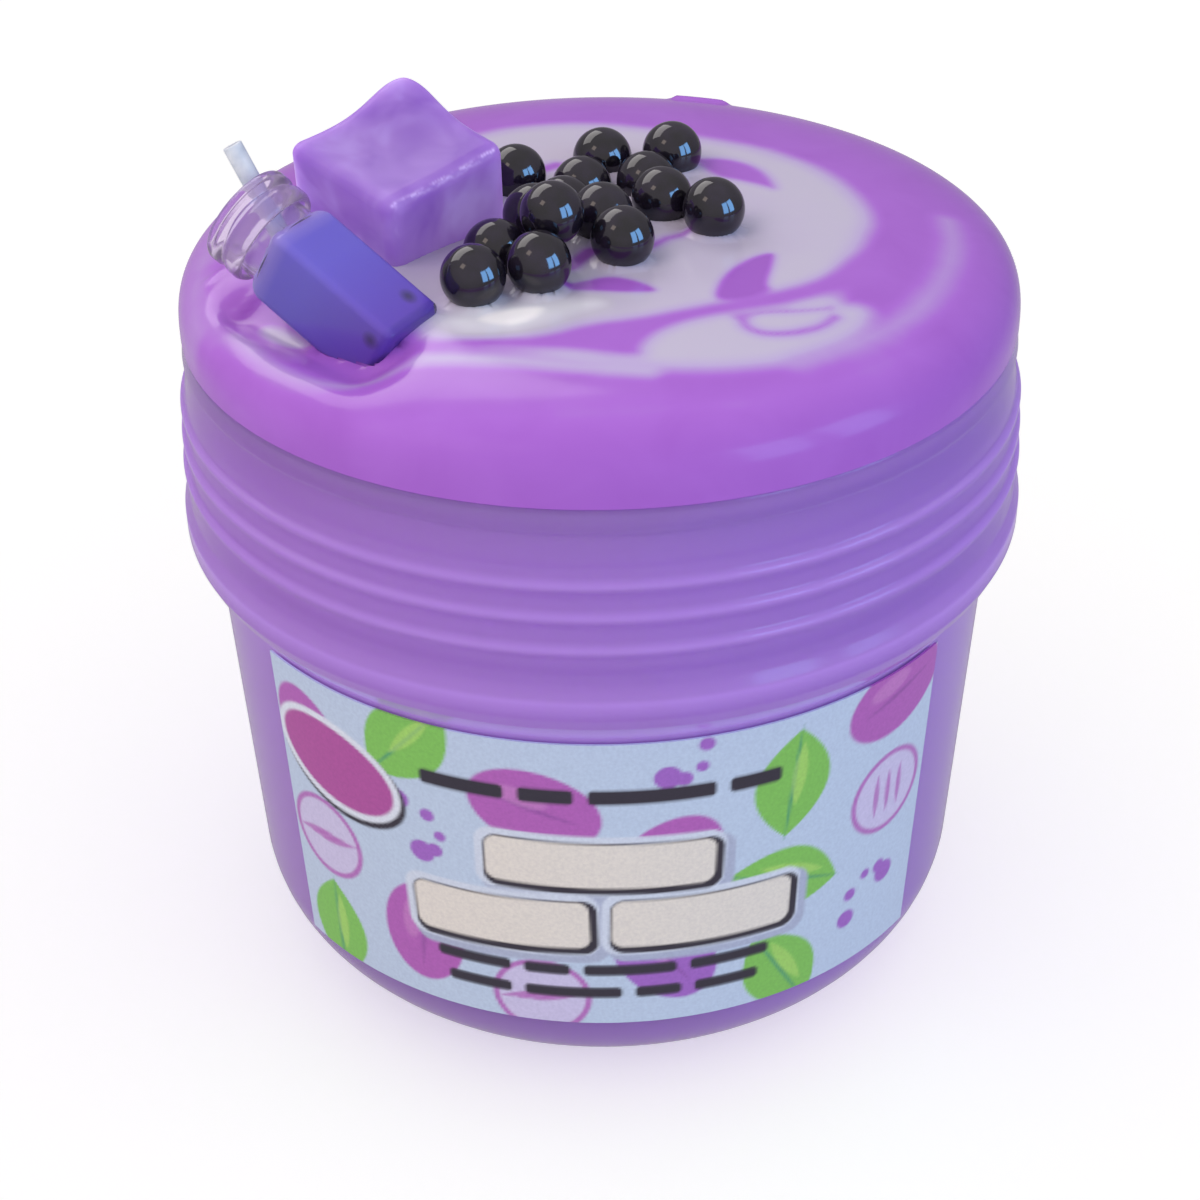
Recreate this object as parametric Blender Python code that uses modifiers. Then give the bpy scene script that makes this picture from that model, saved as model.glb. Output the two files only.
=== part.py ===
"""Open screw-top jar of glossy slime, dressed as a milk tea.

The jar is a clear turned plastic pot with a ribbed collar. Slime fills it to the wall and rises
over the rim in a low dome. Beads, an ice cube and a small bottle charm are pressed into the dome.

Frame: metres, +Z up, origin at the middle of the base, the label faces -Y.
"""

from math import cos, exp, hypot, pi, radians, sin, sqrt

import bmesh
import bpy
from mathutils import Matrix, Vector

MM = 0.001

# Clear space that every piece keeps from its neighbours
GAP = 0.3 * MM

# Jar, from the floor that it stands on
RIM_HEIGHT = 70.2 * MM
RIM_RADIUS = 40.2 * MM
RIM_ROUND = 0.6 * MM
LIP_DROP = 2.5 * MM
LIP_STEP = 0.2 * MM
COLLAR_TOP_RADIUS = 40.3 * MM
COLLAR_BOTTOM_RADIUS = 41.25 * MM
COLLAR_FOOT_HEIGHT = 53.0 * MM
RIB_HEIGHTS = (62.8 * MM, 59.7 * MM, 56.5 * MM)
RIB_RISE = 0.38 * MM
RIB_CREST = 0.35 * MM
RIB_FOOT = 0.75 * MM
FLANGE_RADIUS = 41.9 * MM
FLANGE_TOP = 51.7 * MM
FLANGE_BOTTOM = 49.7 * MM
FLANGE_LIP_HEIGHT = 48.4 * MM
FLANGE_LIP_RADIUS = 41.3 * MM
BODY_TOP_HEIGHT = 45.6 * MM
BODY_TOP_RADIUS = 39.2 * MM
DRAFT = 0.046
BASE_ROUND = 11.5 * MM
WALL = 1.2 * MM
COLLAR_BORE = 39.0 * MM
COLLAR_BORE_FOOT = 50.0 * MM
TURN_STEPS = 56

# Slime dome above the rim: (r / radius) ** FLAT + (z / height) ** CROWN = 1
DOME_RADIUS = 40.3 * MM
DOME_HEIGHT = 8.0 * MM
DOME_FLAT = 5.9
DOME_CROWN = 3.3
DOME_RINGS = 13

# Hollow pressed into the dome along the bottle charm, with the lip that it pushes up
TROUGH_DEPTH = 2.0 * MM
TROUGH_WIDTH = 3.4 * MM
TROUGH_START = Vector((-31.5, -14.5)) * MM
TROUGH_END = Vector((-20.5, -26.0)) * MM
FADE_START = 36.5 * MM
FADE_END = 39.5 * MM

# Paper label round the front of the body
LABEL_BOTTOM = 10.4 * MM
LABEL_TOP = 44.9 * MM
LABEL_HALF_ANGLE = radians(52.5)
LABEL_THICKNESS = 0.2 * MM
LABEL_STEPS = 20
LABEL_ROWS = 5

# Beads: centres, the height measured from the rim
BEAD_RADIUS = 2.95 * MM
BEAD_SEGMENTS = 14
BEAD_RINGS = 8
BEAD_CENTRES = (
    (-7.96, 7.27, 9.6),
    (-4.18, -9.19, 12.7),
    (-5.98, -3.81, 10.2),
    (-3.28, 1.55, 8.65),
    (-1.55, 7.48, 8.2),
    (0.36, -3.27, 10.0),
    (2.19, -9.19, 10.2),
    (-9.44, -10.15, 9.5),
    (-5.35, -14.86, 10.4),
    (-11.13, -17.07, 10.2),
    (0.49, 13.3, 8.8),
    (7.42, 12.65, 9.6),
    (4.75, 7.01, 8.8),
    (6.09, 1.02, 9.7),
    (10.81, -2.96, 10.2),
)

# Ice cube, leaning towards the front and sunk by a third
CUBE_SIDE = 14.2 * MM
CUBE_ROUND = 1.3 * MM
CUBE_HOLLOW = 0.55 * MM
CUBE_CENTRE = Vector((-18.3, -1.4, 10.4)) * MM
CUBE_HEADING = radians(43.3)
CUBE_LEAN = radians(12.8)
CUBE_LEAN_AZIMUTH = radians(-90.0)

# Bottle charm: a square bottle lying with its foot in the slime, cap up and outwards
CHARM_FOOT = Vector((-17.2, -22.3, 5.7)) * MM
CHARM_HEADING = radians(148.5)
CHARM_DIP = radians(60.4)
BOTTLE_SIDE = 7.4 * MM
BOTTLE_LENGTH = 13.3 * MM
BOTTLE_ROUND = 1.3 * MM
BOTTLE_WALL = 0.55 * MM
NECK_RADIUS = 3.9 * MM
NECK_BORE = 3.4 * MM
NECK_TOP = 18.1 * MM
DRINK_TOP = 12.4 * MM
CAP_BOTTOM = 15.2 * MM
CAP_TOP = 19.2 * MM
CAP_RADIUS = 4.85 * MM
CAP_GROOVE = 0.3 * MM
CAP_LIP_BORE = 3.8 * MM
CAP_LIP_HEIGHT = 18.5 * MM
STRAW_RADIUS = 0.9 * MM
STRAW_BORE = 0.55 * MM
STRAW_START = Vector((1.95, -1.5, 12.9)) * MM
STRAW_END = Vector((-4.62, -0.55, 22.86)) * MM

parts = bpy.data.collections.new("slime_jar")
cutters = bpy.data.collections.new("cutters")


def clear_scene():
    """Empty the file and add the two collections."""
    for thing in list(bpy.data.objects):
        bpy.data.objects.remove(thing, do_unlink=True)
    bpy.context.scene.collection.children.link(parts)
    bpy.context.scene.collection.children.link(cutters)


def finish(name, colour, roughness, transmission=0.0, alpha=1.0):
    """A plain Principled material in the piece's own colour."""
    material = bpy.data.materials.new(name)
    material.use_nodes = True
    shader = material.node_tree.nodes["Principled BSDF"]
    shader.inputs["Base Color"].default_value = (*colour, 1.0)
    shader.inputs["Roughness"].default_value = roughness
    shader.inputs["Metallic"].default_value = 0.0
    shader.inputs["Transmission Weight"].default_value = transmission
    shader.inputs["Alpha"].default_value = alpha
    return material


def add_object(name, mesh, material=None, collection=None):
    """Put a mesh in its collection, with its material."""
    thing = bpy.data.objects.new(name, mesh)
    (collection or parts).objects.link(thing)
    if material is not None:
        mesh.materials.append(material)
    if collection is cutters:
        thing.hide_render = True
        thing.display_type = "WIRE"
    return thing


def smooth(thing, angle=35.0):
    """Shade round faces smooth and keep true edges sharp."""
    thing.data.shade_smooth()
    thing.data.set_sharp_from_angle(angle=radians(angle))


def settle(thing):
    """Replace an object's mesh by its evaluated one and drop its modifiers."""
    depsgraph = bpy.context.evaluated_depsgraph_get()
    mesh = bpy.data.meshes.new_from_object(thing.evaluated_get(depsgraph))
    thing.modifiers.clear()
    thing.data = mesh
    return thing


def subtract(thing, cutter):
    """Cut one object by another."""
    cut = thing.modifiers.new("cut", "BOOLEAN")
    cut.operation = "DIFFERENCE"
    cut.solver = "EXACT"
    cut.object = cutter


def turned(name, profile, material, steps, collection=None, sweep=2.0 * pi):
    """Turn a profile about Z. The profile runs down the outer side."""
    mesh = bpy.data.meshes.new(name)
    edges = [(i, i + 1) for i in range(len(profile) - 1)]
    mesh.from_pydata([(r, 0.0, z) for r, z in profile], edges, [])
    thing = add_object(name, mesh, material, collection)
    screw = thing.modifiers.new("turn", "SCREW")
    screw.axis = "Z"
    screw.angle = sweep
    screw.steps = steps
    screw.render_steps = steps
    screw.use_merge_vertices = True
    screw.merge_threshold = 0.00001
    return thing


def arc(centre_r, centre_z, radius, start, end, count):
    """Points on an arc in the profile plane, angles in degrees from +r."""
    points = []
    for i in range(count):
        angle = radians(start + (end - start) * i / (count - 1))
        points.append((centre_r + radius * cos(angle), centre_z + radius * sin(angle)))
    return points


def body_radius(z):
    """Outer radius of the drafted body wall, above the rounded base."""
    return BODY_TOP_RADIUS - DRAFT * (BODY_TOP_HEIGHT - z)


def body_profile(offset, count):
    """Body wall and rounded base corner, moved outwards by offset, top to bottom."""
    corner_r = body_radius(BASE_ROUND) - BASE_ROUND
    corner = arc(corner_r, BASE_ROUND, BASE_ROUND + offset, 0.0, -90.0, count)
    return [(BODY_TOP_RADIUS + offset, BODY_TOP_HEIGHT)] + corner


def collar_radius(z):
    """Outer radius of the collar wall between the lip and the flange."""
    span = RIM_HEIGHT - LIP_DROP - COLLAR_FOOT_HEIGHT
    share = (RIM_HEIGHT - LIP_DROP - z) / span
    return COLLAR_TOP_RADIUS + (COLLAR_BOTTOM_RADIUS - COLLAR_TOP_RADIUS) * share


def collar_profile():
    """Lip, three moulded ribs and the flange, top to bottom."""
    lip_z = RIM_HEIGHT - LIP_DROP
    points = arc(RIM_RADIUS - RIM_ROUND, RIM_HEIGHT - RIM_ROUND, RIM_ROUND, 90.0, 0.0, 4)
    points += [(RIM_RADIUS + LIP_STEP, lip_z + LIP_STEP), (collar_radius(lip_z) - LIP_STEP, lip_z - LIP_STEP)]
    for z in RIB_HEIGHTS:
        wall = collar_radius(z)
        for rise, drop in ((0.0, RIB_FOOT), (RIB_RISE, RIB_CREST), (RIB_RISE, -RIB_CREST), (0.0, -RIB_FOOT)):
            points.append((wall + rise, z + drop))
    points.append((COLLAR_BOTTOM_RADIUS, COLLAR_FOOT_HEIGHT))
    points += [(FLANGE_RADIUS, FLANGE_TOP), (FLANGE_RADIUS, FLANGE_BOTTOM)]
    points.append((FLANGE_LIP_RADIUS, FLANGE_LIP_HEIGHT))
    return points


def bore_profile(inset):
    """Inner wall of the jar, moved inwards by inset, from the middle of the floor to the rim."""
    corner_r = body_radius(BASE_ROUND) - BASE_ROUND
    corner = arc(corner_r, BASE_ROUND, BASE_ROUND - WALL - inset, -90.0, 0.0, 5)
    points = [(0.0, WALL + inset)] + corner
    points.append((BODY_TOP_RADIUS - WALL - inset, BODY_TOP_HEIGHT))
    points.append((COLLAR_BORE - inset, COLLAR_BORE_FOOT))
    return points


def make_jar():
    """The clear pot: bore, rim, ribbed collar, flange, drafted body and round-edged base."""
    clear = finish("clear_plastic", (0.72, 0.62, 0.86), 0.12, transmission=0.9)
    profile = bore_profile(0.0)
    profile += arc(COLLAR_BORE + RIM_ROUND, RIM_HEIGHT - RIM_ROUND, RIM_ROUND, 180.0, 120.0, 3)
    profile += collar_profile()
    profile += body_profile(0.0, 6)
    profile.append((0.0, 0.0))
    jar = turned("jar", profile, clear, TURN_STEPS)
    smooth(settle(jar))
    return jar


def dome_height(r):
    """Height of the undisturbed dome above the rim."""
    share = min(1.0, r / DOME_RADIUS) ** DOME_FLAT
    return DOME_HEIGHT * (1.0 - share) ** (1.0 / DOME_CROWN)


def relief(x, y):
    """Change of the dome's height where the bottle charm has pressed a trough."""
    run = TROUGH_END - TROUGH_START
    point = Vector((x, y))
    share = max(0.0, min(1.0, (point - TROUGH_START).dot(run) / run.length_squared))
    distance = (point - TROUGH_START - run * share).length
    fade = max(0.0, min(1.0, (FADE_END - hypot(x, y)) / (FADE_END - FADE_START)))
    return -TROUGH_DEPTH * exp(-(distance / TROUGH_WIDTH) ** 2) * fade


def dome_profile():
    """The dome from its crown to the edge that rests over the rim."""
    points = [(0.0, RIM_HEIGHT + DOME_HEIGHT)]
    for i in range(1, DOME_RINGS + 1):
        r = DOME_RADIUS * sin(0.5 * pi * i / (DOME_RINGS + 1)) ** 0.85
        points.append((r, RIM_HEIGHT + dome_height(r)))
    points.append((DOME_RADIUS, RIM_HEIGHT + DOME_HEIGHT * 0.22))
    points.append((DOME_RADIUS - GAP, RIM_HEIGHT + GAP))
    return points


def make_slime(toppings):
    """The filling and its dome, cut round everything that sits in it."""
    gloss = finish("slime", (0.40, 0.16, 0.62), 0.15)
    profile = dome_profile()
    profile.append((COLLAR_BORE - GAP, RIM_HEIGHT + GAP))
    profile += list(reversed(bore_profile(GAP)))
    slime = settle(turned("slime", profile, gloss, TURN_STEPS))
    for vertex in slime.data.vertices:
        if vertex.co.z > RIM_HEIGHT + 2.0 * GAP:
            vertex.co.z += relief(vertex.co.x, vertex.co.y)
    for cutter in toppings:
        subtract(slime, cutter)
    smooth(settle(slime))
    return slime


def make_label():
    """A paper strip round the front, a gap off the wall, down to the base corner."""
    paper = finish("label_paper", (0.55, 0.60, 0.78), 0.6)
    profile = []
    for i in range(LABEL_ROWS):
        z = LABEL_TOP - (LABEL_TOP - BASE_ROUND) * i / (LABEL_ROWS - 1)
        profile.append((body_radius(z) + GAP, z))
    corner_r = body_radius(BASE_ROUND) - BASE_ROUND
    sunk = (BASE_ROUND - LABEL_BOTTOM) / BASE_ROUND
    profile.append((corner_r + (BASE_ROUND + GAP) * sqrt(1.0 - sunk**2), LABEL_BOTTOM))
    label = turned("label", profile, paper, LABEL_STEPS, sweep=2.0 * LABEL_HALF_ANGLE)
    sheet = label.modifiers.new("paper", "SOLIDIFY")
    sheet.thickness = LABEL_THICKNESS
    sheet.offset = 1.0
    label.rotation_euler = (0.0, 0.0, -0.5 * pi - LABEL_HALF_ANGLE)
    smooth(settle(label))
    return label


def bead_mesh(name, radius):
    """A round bead."""
    mesh = bpy.data.meshes.new(name)
    shape = bmesh.new()
    bmesh.ops.create_uvsphere(shape, u_segments=BEAD_SEGMENTS, v_segments=BEAD_RINGS, radius=radius)
    shape.to_mesh(mesh)
    shape.free()
    mesh.shade_smooth()
    return mesh


def make_beads():
    """Fifteen black beads heaped in the middle, and a cutter for each one's dent."""
    black = finish("bead_black", (0.012, 0.010, 0.018), 0.06)
    ball = bead_mesh("bead", BEAD_RADIUS)
    ball.materials.append(black)
    dent = bead_mesh("bead_dent", BEAD_RADIUS + GAP)
    dents = []
    for number, (x, y, z) in enumerate(BEAD_CENTRES, start=1):
        place = Vector((x * MM, y * MM, RIM_HEIGHT + z * MM))
        bead = bpy.data.objects.new(f"pearl_{number:02d}", ball)
        bead.location = place
        parts.objects.link(bead)
        hollow = add_object(f"pearl_dent_{number:02d}", dent, collection=cutters)
        hollow.location = place
        dents.append(hollow)
    return dents


def cube_place():
    """Turn and place of the leaning cube."""
    lean_axis = Vector((-sin(CUBE_LEAN_AZIMUTH), cos(CUBE_LEAN_AZIMUTH), 0.0))
    turn = Matrix.Rotation(CUBE_LEAN, 4, lean_axis) @ Matrix.Rotation(CUBE_HEADING, 4, "Z")
    return Matrix.Translation(CUBE_CENTRE + Vector((0.0, 0.0, RIM_HEIGHT))) @ turn


def box_mesh(name, sides, centre, cuts=0):
    """A box primitive with its scale in the mesh."""
    mesh = bpy.data.meshes.new(name)
    shape = bmesh.new()
    bmesh.ops.create_cube(shape, size=1.0, matrix=Matrix.Translation(centre) @ Matrix.Diagonal((*sides, 1.0)))
    if cuts:
        bmesh.ops.subdivide_edges(shape, edges=shape.edges[:], cuts=cuts, use_grid_fill=True)
    shape.to_mesh(mesh)
    shape.free()
    return mesh


def round_edges(thing, width, segments):
    """Round the outer edges of a piece."""
    bevel = thing.modifiers.new("round", "BEVEL")
    bevel.width = width
    bevel.segments = segments
    bevel.limit_method = "ANGLE"
    bevel.angle_limit = radians(40.0)
    return settle(thing)


def make_cube():
    """A cloudy resin ice cube with dished faces, and the cutter for its seat."""
    resin = finish("ice_resin", (0.30, 0.16, 0.56), 0.2, transmission=0.5)
    side = Vector((CUBE_SIDE, CUBE_SIDE, CUBE_SIDE))
    cube = add_object("ice_cube", box_mesh("ice_cube", side, Vector(), cuts=3), resin)
    half = 0.5 * CUBE_SIDE
    for vertex in cube.data.vertices:
        share = vertex.co / half
        for axis in range(3):
            if abs(share[axis]) > 0.99:
                bowl = (1.0 - share[(axis + 1) % 3] ** 2) * (1.0 - share[(axis + 2) % 3] ** 2)
                vertex.co[axis] -= CUBE_HOLLOW * bowl * (1.0 if share[axis] > 0.0 else -1.0)
    round_edges(cube, CUBE_ROUND, 3)
    cube.matrix_world = cube_place()
    smooth(cube)
    seat_side = side + Vector((2.0, 2.0, 2.0)) * GAP
    seat = add_object("cube_seat", box_mesh("cube_seat", seat_side, Vector()), collection=cutters)
    round_edges(seat, CUBE_ROUND, 3)
    seat.matrix_world = cube_place()
    return seat


def charm_place():
    """Turn and place of the bottle charm, whose own axis is Z from foot to cap."""
    turn = Matrix.Rotation(CHARM_HEADING, 4, "Z") @ Matrix.Rotation(CHARM_DIP, 4, "Y")
    return Matrix.Translation(CHARM_FOOT + Vector((0.0, 0.0, RIM_HEIGHT))) @ turn


def square_bottle(name, inset, top, collection, material=None):
    """A round-edged square block from the bottle's foot, every side moved in by inset."""
    side = BOTTLE_SIDE - 2.0 * inset
    height = top - inset
    centre = Vector((0.0, 0.0, inset + 0.5 * height))
    block = add_object(name, box_mesh(name, (side, side, height), centre), material, collection)
    return round_edges(block, min(BOTTLE_ROUND, BOTTLE_ROUND - 0.6 * inset), 3)


def rod(name, radius, start, end, steps=20):
    """A cutter rod from start to end."""
    mesh = bpy.data.meshes.new(name)
    shape = bmesh.new()
    run = end - start
    bmesh.ops.create_cone(
        shape, cap_ends=True, segments=steps, radius1=radius, radius2=radius, depth=run.length
    )
    shape.to_mesh(mesh)
    shape.free()
    thing = add_object(name, mesh, collection=cutters)
    thing.matrix_world = Matrix.Translation((start + end) / 2.0) @ run.to_track_quat("Z", "Y").to_matrix().to_4x4()
    return thing


def make_bottle():
    """The clear square bottle with its open round neck."""
    clear = finish("charm_plastic", (0.80, 0.78, 0.95), 0.05, transmission=0.95)
    bottle = square_bottle("charm_bottle", 0.0, BOTTLE_LENGTH, parts, clear)
    neck = rod("neck_form", NECK_RADIUS, Vector((0, 0, BOTTLE_LENGTH - BOTTLE_ROUND)), Vector((0, 0, NECK_TOP)), 24)
    join = bottle.modifiers.new("neck", "BOOLEAN")
    join.operation = "UNION"
    join.solver = "EXACT"
    join.object = neck
    inside = square_bottle("bottle_inside", BOTTLE_WALL, BOTTLE_LENGTH - BOTTLE_WALL, cutters)
    bore = rod("neck_bore", NECK_BORE, Vector((0, 0, BOTTLE_LENGTH * 0.5)), Vector((0, 0, NECK_TOP + 1.0 * MM)), 24)
    subtract(bottle, inside)
    subtract(bottle, bore)
    settle(bottle)
    bottle.matrix_world = charm_place()
    smooth(bottle)


def make_drink():
    """The violet filling up to the bottle's shoulder."""
    violet = finish("charm_drink", (0.13, 0.09, 0.62), 0.2)
    inset = BOTTLE_WALL + GAP
    drink = square_bottle("charm_drink", inset, DRINK_TOP, parts, violet)
    drink.matrix_world = charm_place()
    smooth(drink)


def make_cap():
    """The clear ring cap: two round ribs and an inward lip over the neck's end."""
    clear = finish("cap_plastic", (0.86, 0.84, 0.95), 0.05, transmission=0.95)
    bore = NECK_RADIUS + GAP
    middle = 0.5 * (CAP_BOTTOM + CAP_TOP)
    quarter = 0.25 * (CAP_TOP - CAP_BOTTOM)
    profile = [
        (bore, CAP_LIP_HEIGHT),
        (CAP_LIP_BORE, CAP_LIP_HEIGHT),
        (CAP_LIP_BORE, CAP_TOP),
        (CAP_RADIUS - CAP_GROOVE, CAP_TOP),
        (CAP_RADIUS, middle + 1.5 * quarter),
        (CAP_RADIUS, middle + 0.5 * quarter),
        (CAP_RADIUS - CAP_GROOVE, middle),
        (CAP_RADIUS, middle - 0.5 * quarter),
        (CAP_RADIUS, middle - 1.5 * quarter),
        (CAP_RADIUS - CAP_GROOVE, CAP_BOTTOM),
        (bore, CAP_BOTTOM),
        (bore, CAP_LIP_HEIGHT),
    ]
    cap = settle(turned("charm_cap", profile, clear, 28))
    cap.matrix_world = charm_place()
    smooth(cap)


def make_straw():
    """The white straw, a short tube leaning in the neck."""
    white = finish("straw_white", (0.72, 0.78, 0.88), 0.35)
    length = (STRAW_END - STRAW_START).length
    profile = [
        (STRAW_BORE, 0.0),
        (STRAW_BORE, length),
        (STRAW_RADIUS, length),
        (STRAW_RADIUS, 0.0),
        (STRAW_BORE, 0.0),
    ]
    straw = settle(turned("charm_straw", profile, white, 16))
    lean = (STRAW_END - STRAW_START).to_track_quat("Z", "Y").to_matrix().to_4x4()
    straw.matrix_world = charm_place() @ Matrix.Translation(STRAW_START) @ lean
    smooth(straw)


def charm_seat():
    """Cutters for the bed that the charm has pressed into the slime."""
    bed = square_bottle("bottle_seat", -GAP, BOTTLE_LENGTH, cutters)
    bed.matrix_world = charm_place()
    ring = rod("cap_seat", CAP_RADIUS + GAP, Vector((0, 0, CAP_BOTTOM - GAP)), Vector((0, 0, CAP_TOP + GAP)), 28)
    ring.matrix_world = charm_place() @ ring.matrix_world
    neck = rod("neck_seat", NECK_RADIUS + GAP, Vector((0, 0, BOTTLE_LENGTH * 0.9)), Vector((0, 0, CAP_TOP)), 24)
    neck.matrix_world = charm_place() @ neck.matrix_world
    return [bed, ring, neck]


def build():
    """Model every piece of the jar."""
    clear_scene()
    make_jar()
    make_label()
    toppings = make_beads()
    toppings.append(make_cube())
    make_bottle()
    make_drink()
    make_cap()
    make_straw()
    toppings += charm_seat()
    make_slime(toppings)


build()
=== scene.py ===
"""Looks of an open jar of glossy purple slime, dressed as a milk tea.

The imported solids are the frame. Each sub-assembly below is a class that models its pieces as finer
meshes of the same form and dresses them: the clear jar, the slime with its marbled dome, the printed
label, the beads, the ice cube and the bottle charm. Lengths are in millimetres, with the origin at
the middle of the base, and turn to metres where a mesh is made.
"""

import logging
from collections.abc import Callable, Sequence
from dataclasses import dataclass
from enum import Enum
from math import cos, pi, radians, sin, tan

import bpy
import numpy as np
from mathutils import Matrix, Vector
from mathutils.bvhtree import BVHTree


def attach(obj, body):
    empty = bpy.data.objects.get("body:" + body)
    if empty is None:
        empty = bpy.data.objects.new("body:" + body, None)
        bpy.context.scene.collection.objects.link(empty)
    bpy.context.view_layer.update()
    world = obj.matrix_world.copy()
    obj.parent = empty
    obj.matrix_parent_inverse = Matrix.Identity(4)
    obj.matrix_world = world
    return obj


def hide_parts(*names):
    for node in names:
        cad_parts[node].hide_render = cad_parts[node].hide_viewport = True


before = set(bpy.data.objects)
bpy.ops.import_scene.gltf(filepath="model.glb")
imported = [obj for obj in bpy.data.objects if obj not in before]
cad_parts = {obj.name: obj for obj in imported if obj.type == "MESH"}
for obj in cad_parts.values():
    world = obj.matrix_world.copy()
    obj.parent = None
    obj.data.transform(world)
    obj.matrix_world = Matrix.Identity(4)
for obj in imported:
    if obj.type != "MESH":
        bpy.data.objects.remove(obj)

LOG = logging.getLogger("slime_jar")
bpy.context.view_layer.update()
MM = 0.001
WELD = 0.000001
ROOT = "root"

Outline = list[tuple[float, float]]
Plane = list[tuple[float, float]]


class Slot(Enum):
    """The record's material slots."""

    JAR = "jar_plastic"
    SLIME = "slime"
    LABEL = "label_paper"
    BEAD = "bead_black"
    ICE = "ice_resin"
    CHARM = "charm_plastic"
    DRINK = "charm_drink"
    CAP = "cap_plastic"
    STRAW = "straw_white"


def linear(colour: str) -> tuple[float, float, float, float]:
    """Turn an sRGB hex colour to linear light.

    Args:
        colour: six hex digits after a hash sign.

    Returns:
        Linear red, green, blue and an alpha of one.
    """
    channels = [int(colour[i : i + 2], 16) / 255.0 for i in (1, 3, 5)]
    light = [c / 12.92 if c <= 0.04045 else ((c + 0.055) / 1.055) ** 2.4 for c in channels]
    return (light[0], light[1], light[2], 1.0)


def feed(tree: bpy.types.NodeTree, node: bpy.types.Node, inputs: dict) -> None:
    """Give a node its values and links.

    Args:
        tree: the node's tree.
        node: the node.
        inputs: socket name or number to a value, or to the output socket that feeds it.
    """
    for name, value in inputs.items():
        if isinstance(value, bpy.types.NodeSocket):
            tree.links.new(value, node.inputs[name])
        else:
            node.inputs[name].default_value = value


def add_node(
    tree: bpy.types.NodeTree,
    kind: str,
    inputs: dict | None = None,
    stops: dict[float, str] | None = None,
    **settings: object,
) -> bpy.types.Node:
    """Add a shader node with its settings, values and links.

    Args:
        tree: the material's node tree.
        kind: the node's type name.
        inputs: what feed takes.
        stops: for a colour ramp, place on the ramp to sRGB hex colour.
        settings: the node's own properties.

    Returns:
        The new node.
    """
    node = tree.nodes.new(kind)
    for name, value in settings.items():
        setattr(node, name, value)
    feed(tree, node, inputs or {})
    if stops:
        bands = node.color_ramp.elements
        while len(bands) < len(stops):
            bands.new(0.5)
        for band, (place, colour) in zip(bands, sorted(stops.items())):
            band.position = place
            band.color = linear(colour)
    return node


def blank_material(name: str) -> tuple[bpy.types.Material, bpy.types.NodeTree, bpy.types.Node]:
    """Start a node material.

    Args:
        name: the material's name.

    Returns:
        The material, its node tree and its Principled shader.
    """
    material = bpy.data.materials.new(name)
    material.use_nodes = True
    return material, material.node_tree, material.node_tree.nodes["Principled BSDF"]


@dataclass(frozen=True)
class MouldedClearPlastic:
    """Injection-moulded clear polystyrene: glossy, faintly violet, with a slow moulding ripple.

    The mesh attribute "edge" is above 0 where a painted glow, an emission that stands in for light on the
    moulded edges, is laid on the wall.
    """

    name: str
    tint: str
    ripple_mm: float
    ripple_depth: float
    roughness: float
    haze: float = 0.0
    painted_edge_glow: str = "#B79AD8"
    mark_mm: float = 0.9

    def build(self) -> bpy.types.Material:
        """Return the clear material, its gloss broken by a ripple and fine handling marks."""
        material, tree, shader = blank_material(self.name)
        place = add_node(tree, "ShaderNodeTexCoord").outputs["Object"]
        wave = add_node(tree, "ShaderNodeTexNoise", {"Vector": place, "Scale": 1.0 / (self.ripple_mm * MM)})
        marks = add_node(
            tree, "ShaderNodeTexNoise", {"Vector": place, "Scale": 1.0 / (self.mark_mm * MM), "Detail": 4.0}
        )
        gloss = add_node(
            tree,
            "ShaderNodeMapRange",
            {"Value": marks.outputs["Fac"], "From Min": 0.35, "From Max": 0.75,
             "To Min": self.roughness * 0.8, "To Max": self.roughness * 1.25},
        )
        bump = add_node(
            tree,
            "ShaderNodeBump",
            {"Height": wave.outputs["Fac"], "Strength": 0.35, "Distance": self.ripple_depth * MM},
        )
        # Painted glow: where "edge" is set, the wall emits a lilac light in place of light on its moulded
        # edges.
        edge = add_node(tree, "ShaderNodeAttribute", attribute_name="edge", attribute_type="GEOMETRY")
        painted_glow = add_node(
            tree, "ShaderNodeValToRGB", {"Fac": edge.outputs["Fac"]}, {0.0: "#000000", 1.0: self.painted_edge_glow}
        )
        feed(tree, shader, {
            "Base Color": linear(self.tint),
            "Transmission Weight": 1.0 - self.haze,
            "IOR": 1.49,
            "Roughness": gloss.outputs["Result"],
            "Normal": bump.outputs["Normal"],
            "Emission Color": painted_glow.outputs["Color"],
            "Emission Strength": 1.0,
        })
        self.clear_to_lamps(tree, shader)
        return material

    def clear_to_lamps(self, tree: bpy.types.NodeTree, shader: bpy.types.Node) -> None:
        """Let lamps shine straight through the shader, as they do through a thin clear wall."""
        path = add_node(tree, "ShaderNodeLightPath")
        through = add_node(tree, "ShaderNodeBsdfTransparent", {"Color": linear(self.tint)})
        either = add_node(
            tree,
            "ShaderNodeMixShader",
            {0: path.outputs["Is Shadow Ray"], 1: shader.outputs["BSDF"], 2: through.outputs["BSDF"]},
        )
        feed(tree, tree.nodes["Material Output"], {"Surface": either.outputs["Shader"]})


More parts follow.
